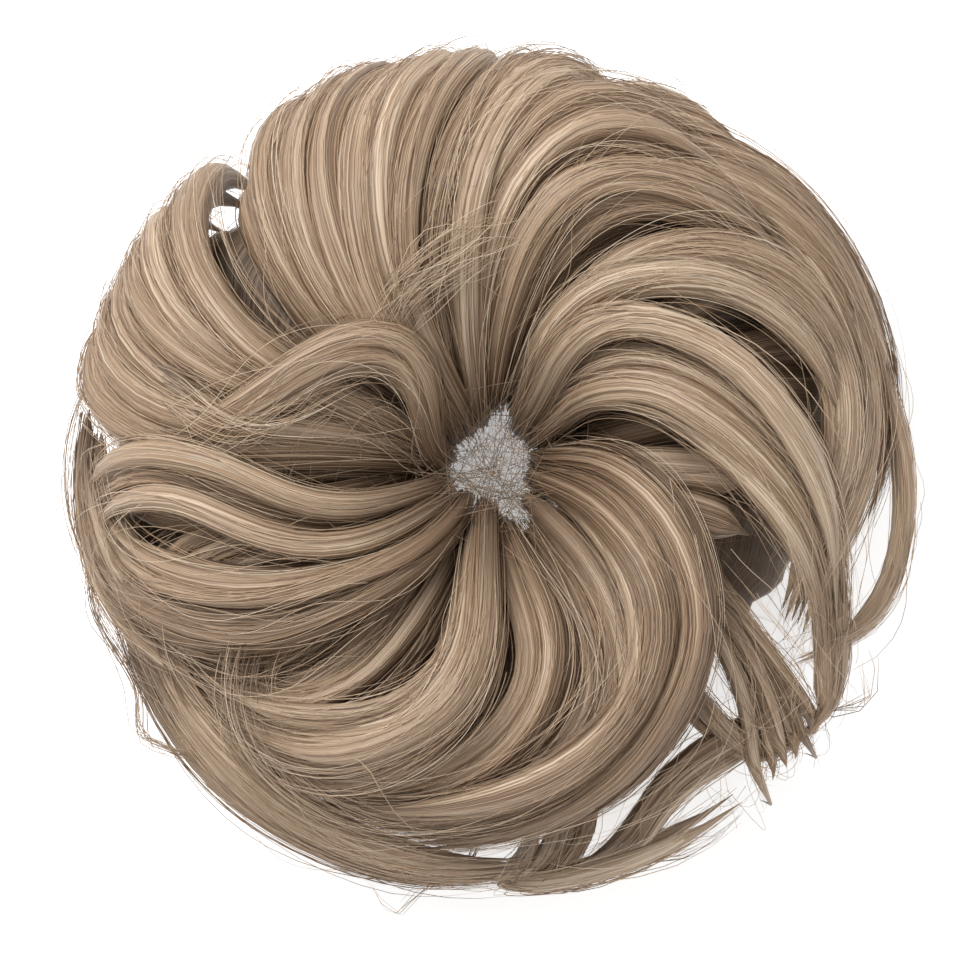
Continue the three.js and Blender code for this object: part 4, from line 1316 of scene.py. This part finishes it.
@dataclass
class ElasticLoop:
    """The covered elastic loop, and the weft that is sewn round it."""

    centre: tuple[float, float, float]
    loop_across: float = 42 * MM
    thickness: float = 4 * MM
    weft_gap: float = 0.3 * MM
    weft_wall: float = 1.5 * MM
    weft_half_wrap: float = 108.0
    stitches: int = 72
    stitch_places: int = 7
    stitch_sink: float = 0.1 * MM
    stitch_corners: int = 6
    stitch_radius: float = 0.22 * MM
    stitch_turn: float = 0.06
    stitch_start: float = -100.0
    stitch_sweep: float = 45.0
    ribs: int = 60
    rib_slant: int = 4
    rib_depth: float = 0.05

    def ring_points(self, turn: np.ndarray, angle: np.ndarray, radius: np.ndarray) -> np.ndarray:
        """Points about the loop: round the hole's axis, then round the elastic.

        Args:
            turn, angle: radians.
            radius: from the elastic's middle.

        Returns:
            Points, with one more axis than the arguments.
        """
        out = self.loop_across / 2 + radius * np.cos(angle)
        return np.stack([
            self.centre[0] + out * np.cos(turn),
            self.centre[1] + out * np.sin(turn),
            self.centre[2] + radius * np.sin(angle),
        ], axis=-1)

    def elastic(self) -> int:
        """Makes the elastic: a ring whose thickness has two fine ribs crossing each other."""
        turn, angle = around_both(240, 12)
        slant = self.rib_slant * angle
        rib = np.cos(self.ribs * turn + slant) * np.cos(self.ribs * turn - slant)
        radius = self.thickness / 2 * (1 - self.rib_depth + self.rib_depth * rib)
        points = self.ring_points(turn, angle, radius)
        place = turn / (2 * np.pi)
        surface = Surface()
        surface.loop(points, np.stack([place, place, place], axis=-1))
        finish = ThreadFinish("covered_elastic", (104, 84, 66)).build()
        return surface.piece("elastic_cord", finish, "elastic_band", "elastic_band")

    def weft(self) -> int:
        """Makes the weft: a wall round part of the elastic, with a row of stitches over it."""
        around, across = 200, 10
        half = np.radians(self.weft_half_wrap)
        inner = self.thickness / 2 + self.weft_gap
        outer = inner + self.weft_wall
        outward = np.linspace(-half, half, across)
        angles = np.concatenate([outward, outward[::-1]])
        radii = np.repeat([outer - self.stitch_sink, inner], across)
        turn, angle = np.meshgrid(2 * np.pi * np.arange(around) / around, angles, indexing="ij")
        radius = np.broadcast_to(radii, turn.shape)
        place = turn / (2 * np.pi)
        surface = Surface()
        surface.loop(self.ring_points(turn, angle, radius), np.stack([place] * 3, axis=-1))
        self.add_stitches(outer, surface)
        finish = ThreadFinish("weft_tape", (150, 124, 98), ribs=300).build()
        return surface.piece("weft_tape", finish, "weft", "weft")

    def add_stitches(self, radius: float, into: Surface) -> None:
        """Adds stitches: short threads that slant over the weft's lower edge.

        Args:
            radius: from the elastic's middle to the threads.
            into: the surface that they are added to.
        """
        start = 2 * np.pi * np.arange(self.stitches) / self.stitches
        along = np.linspace(0, 1, self.stitch_places)
        turn = start[:, None] + self.stitch_turn * along
        angle = np.radians(self.stitch_start + self.stitch_sweep * along) + 0 * turn
        path = self.ring_points(turn, angle, np.full_like(turn, radius))
        up = unit(path - self.ring_points(turn, angle, np.full_like(turn, radius / 2)))
        half = np.full((*turn.shape, self.stitch_corners), self.stitch_radius)
        fibre = np.repeat(along[None, :, None], 3, axis=2) + np.zeros((self.stitches, 1, 3))
        into.tubes(path, up, half, half, fibre)


@dataclass
class Studio:
    """A pale floor, soft light from the upper left and the camera straight above."""

    axis: tuple[float, float]
    hole_pixel: tuple[float, float] = (487, 467)
    pixels_per_mm: float = 5.0
    sharp_height: float = 38 * MM
    camera_distance: float = 1.0
    sensor: float = 36.0
    far_clip: float = 20.0
    floor_size: float = 6.0
    floor_gap: float = 0.2 * MM
    floor_glow: float = 0.5
    sky: float = 0.6
    aim_height: float = 30 * MM

    def floor(self) -> None:
        """Makes the floor, a wide plain sheet just under the piece."""
        mesh = bpy.data.meshes.new("floor")
        half = self.floor_size / 2
        mesh.from_pydata(
            [(-half, -half, 0), (half, -half, 0), (half, half, 0), (-half, half, 0)],
            [],
            [(0, 1, 2, 3)],
        )
        thing = put_in_scene("floor", mesh)
        thing.location.z = -self.floor_gap
        material, shader = new_material("floor")
        shader.inputs["Base Color"].default_value = (0.9, 0.9, 0.9, 1)
        shader.inputs["Roughness"].default_value = 0.9
        shader.inputs["Emission Color"].default_value = (1, 1, 1, 1)
        shader.inputs["Emission Strength"].default_value = self.floor_glow
        mesh.materials.append(material)

    def light(self, name: str, place: tuple[float, float, float], size: float,
              power: float) -> None:
        """Adds a square soft light that faces the piece.

        Args:
            name: of the light.
            place: where it hangs.
            size: of its side.
            power: in watts.
        """
        lamp = bpy.data.lights.new(name, "AREA")
        lamp.size = size
        lamp.energy = power
        thing = put_in_scene(name, lamp)
        thing.location = place
        aim = Vector((0, 0, self.aim_height)) - thing.location
        thing.rotation_euler = aim.to_track_quat("-Z", "Y").to_euler()

    def world(self) -> None:
        """Sets a plain white surrounding light."""
        world = bpy.data.worlds.new("studio")
        world.use_nodes = True
        back = world.node_tree.nodes["Background"]
        back.inputs["Color"].default_value = (1, 1, 1, 1)
        back.inputs["Strength"].default_value = self.sky
        bpy.context.scene.world = world
        bpy.context.scene.view_settings.view_transform = "Standard"

    def camera(self) -> None:
        """Puts the camera above, so that the hole's axis falls on its pixel of the photograph."""
        middle = PHOTO_PIXELS / 2
        scale = MM / self.pixels_per_mm
        lens = bpy.data.cameras.new("camera")
        lens.sensor_width = self.sensor
        lens.lens = self.sensor * self.camera_distance / (PHOTO_PIXELS * scale)
        lens.clip_end = self.far_clip
        thing = put_in_scene("camera", lens)
        thing.location = (
            self.axis[0] + (middle - self.hole_pixel[0]) * scale,
            self.axis[1] - (middle - self.hole_pixel[1]) * scale,
            self.sharp_height + self.camera_distance,
        )
        bpy.context.scene.camera = thing

    def build(self) -> None:
        """Makes the camera, the lights and the floor."""
        self.camera()
        self.world()
        self.light("key", place=(-0.7, 0.8, 1.2), size=0.8, power=26)
        self.light("fill", place=(0.8, -0.5, 1.3), size=1.4, power=4)
        self.floor()


def main() -> None:
    """Builds the camera and stage, the elastic loop with its weft, and the hair."""
    logging.basicConfig(level=logging.INFO, format="%(message)s")
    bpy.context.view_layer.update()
    low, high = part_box("elastic_band")
    centre = (low + high) / 2
    Studio((centre.x, centre.y)).build()
    loop = ElasticLoop(tuple(centre))
    total = loop.elastic() + loop.weft()
    total += HairRing(Ring((centre.x, centre.y))).build()
    log.info("all pieces: %d triangles", total)


if __name__ == "__main__":
    main()
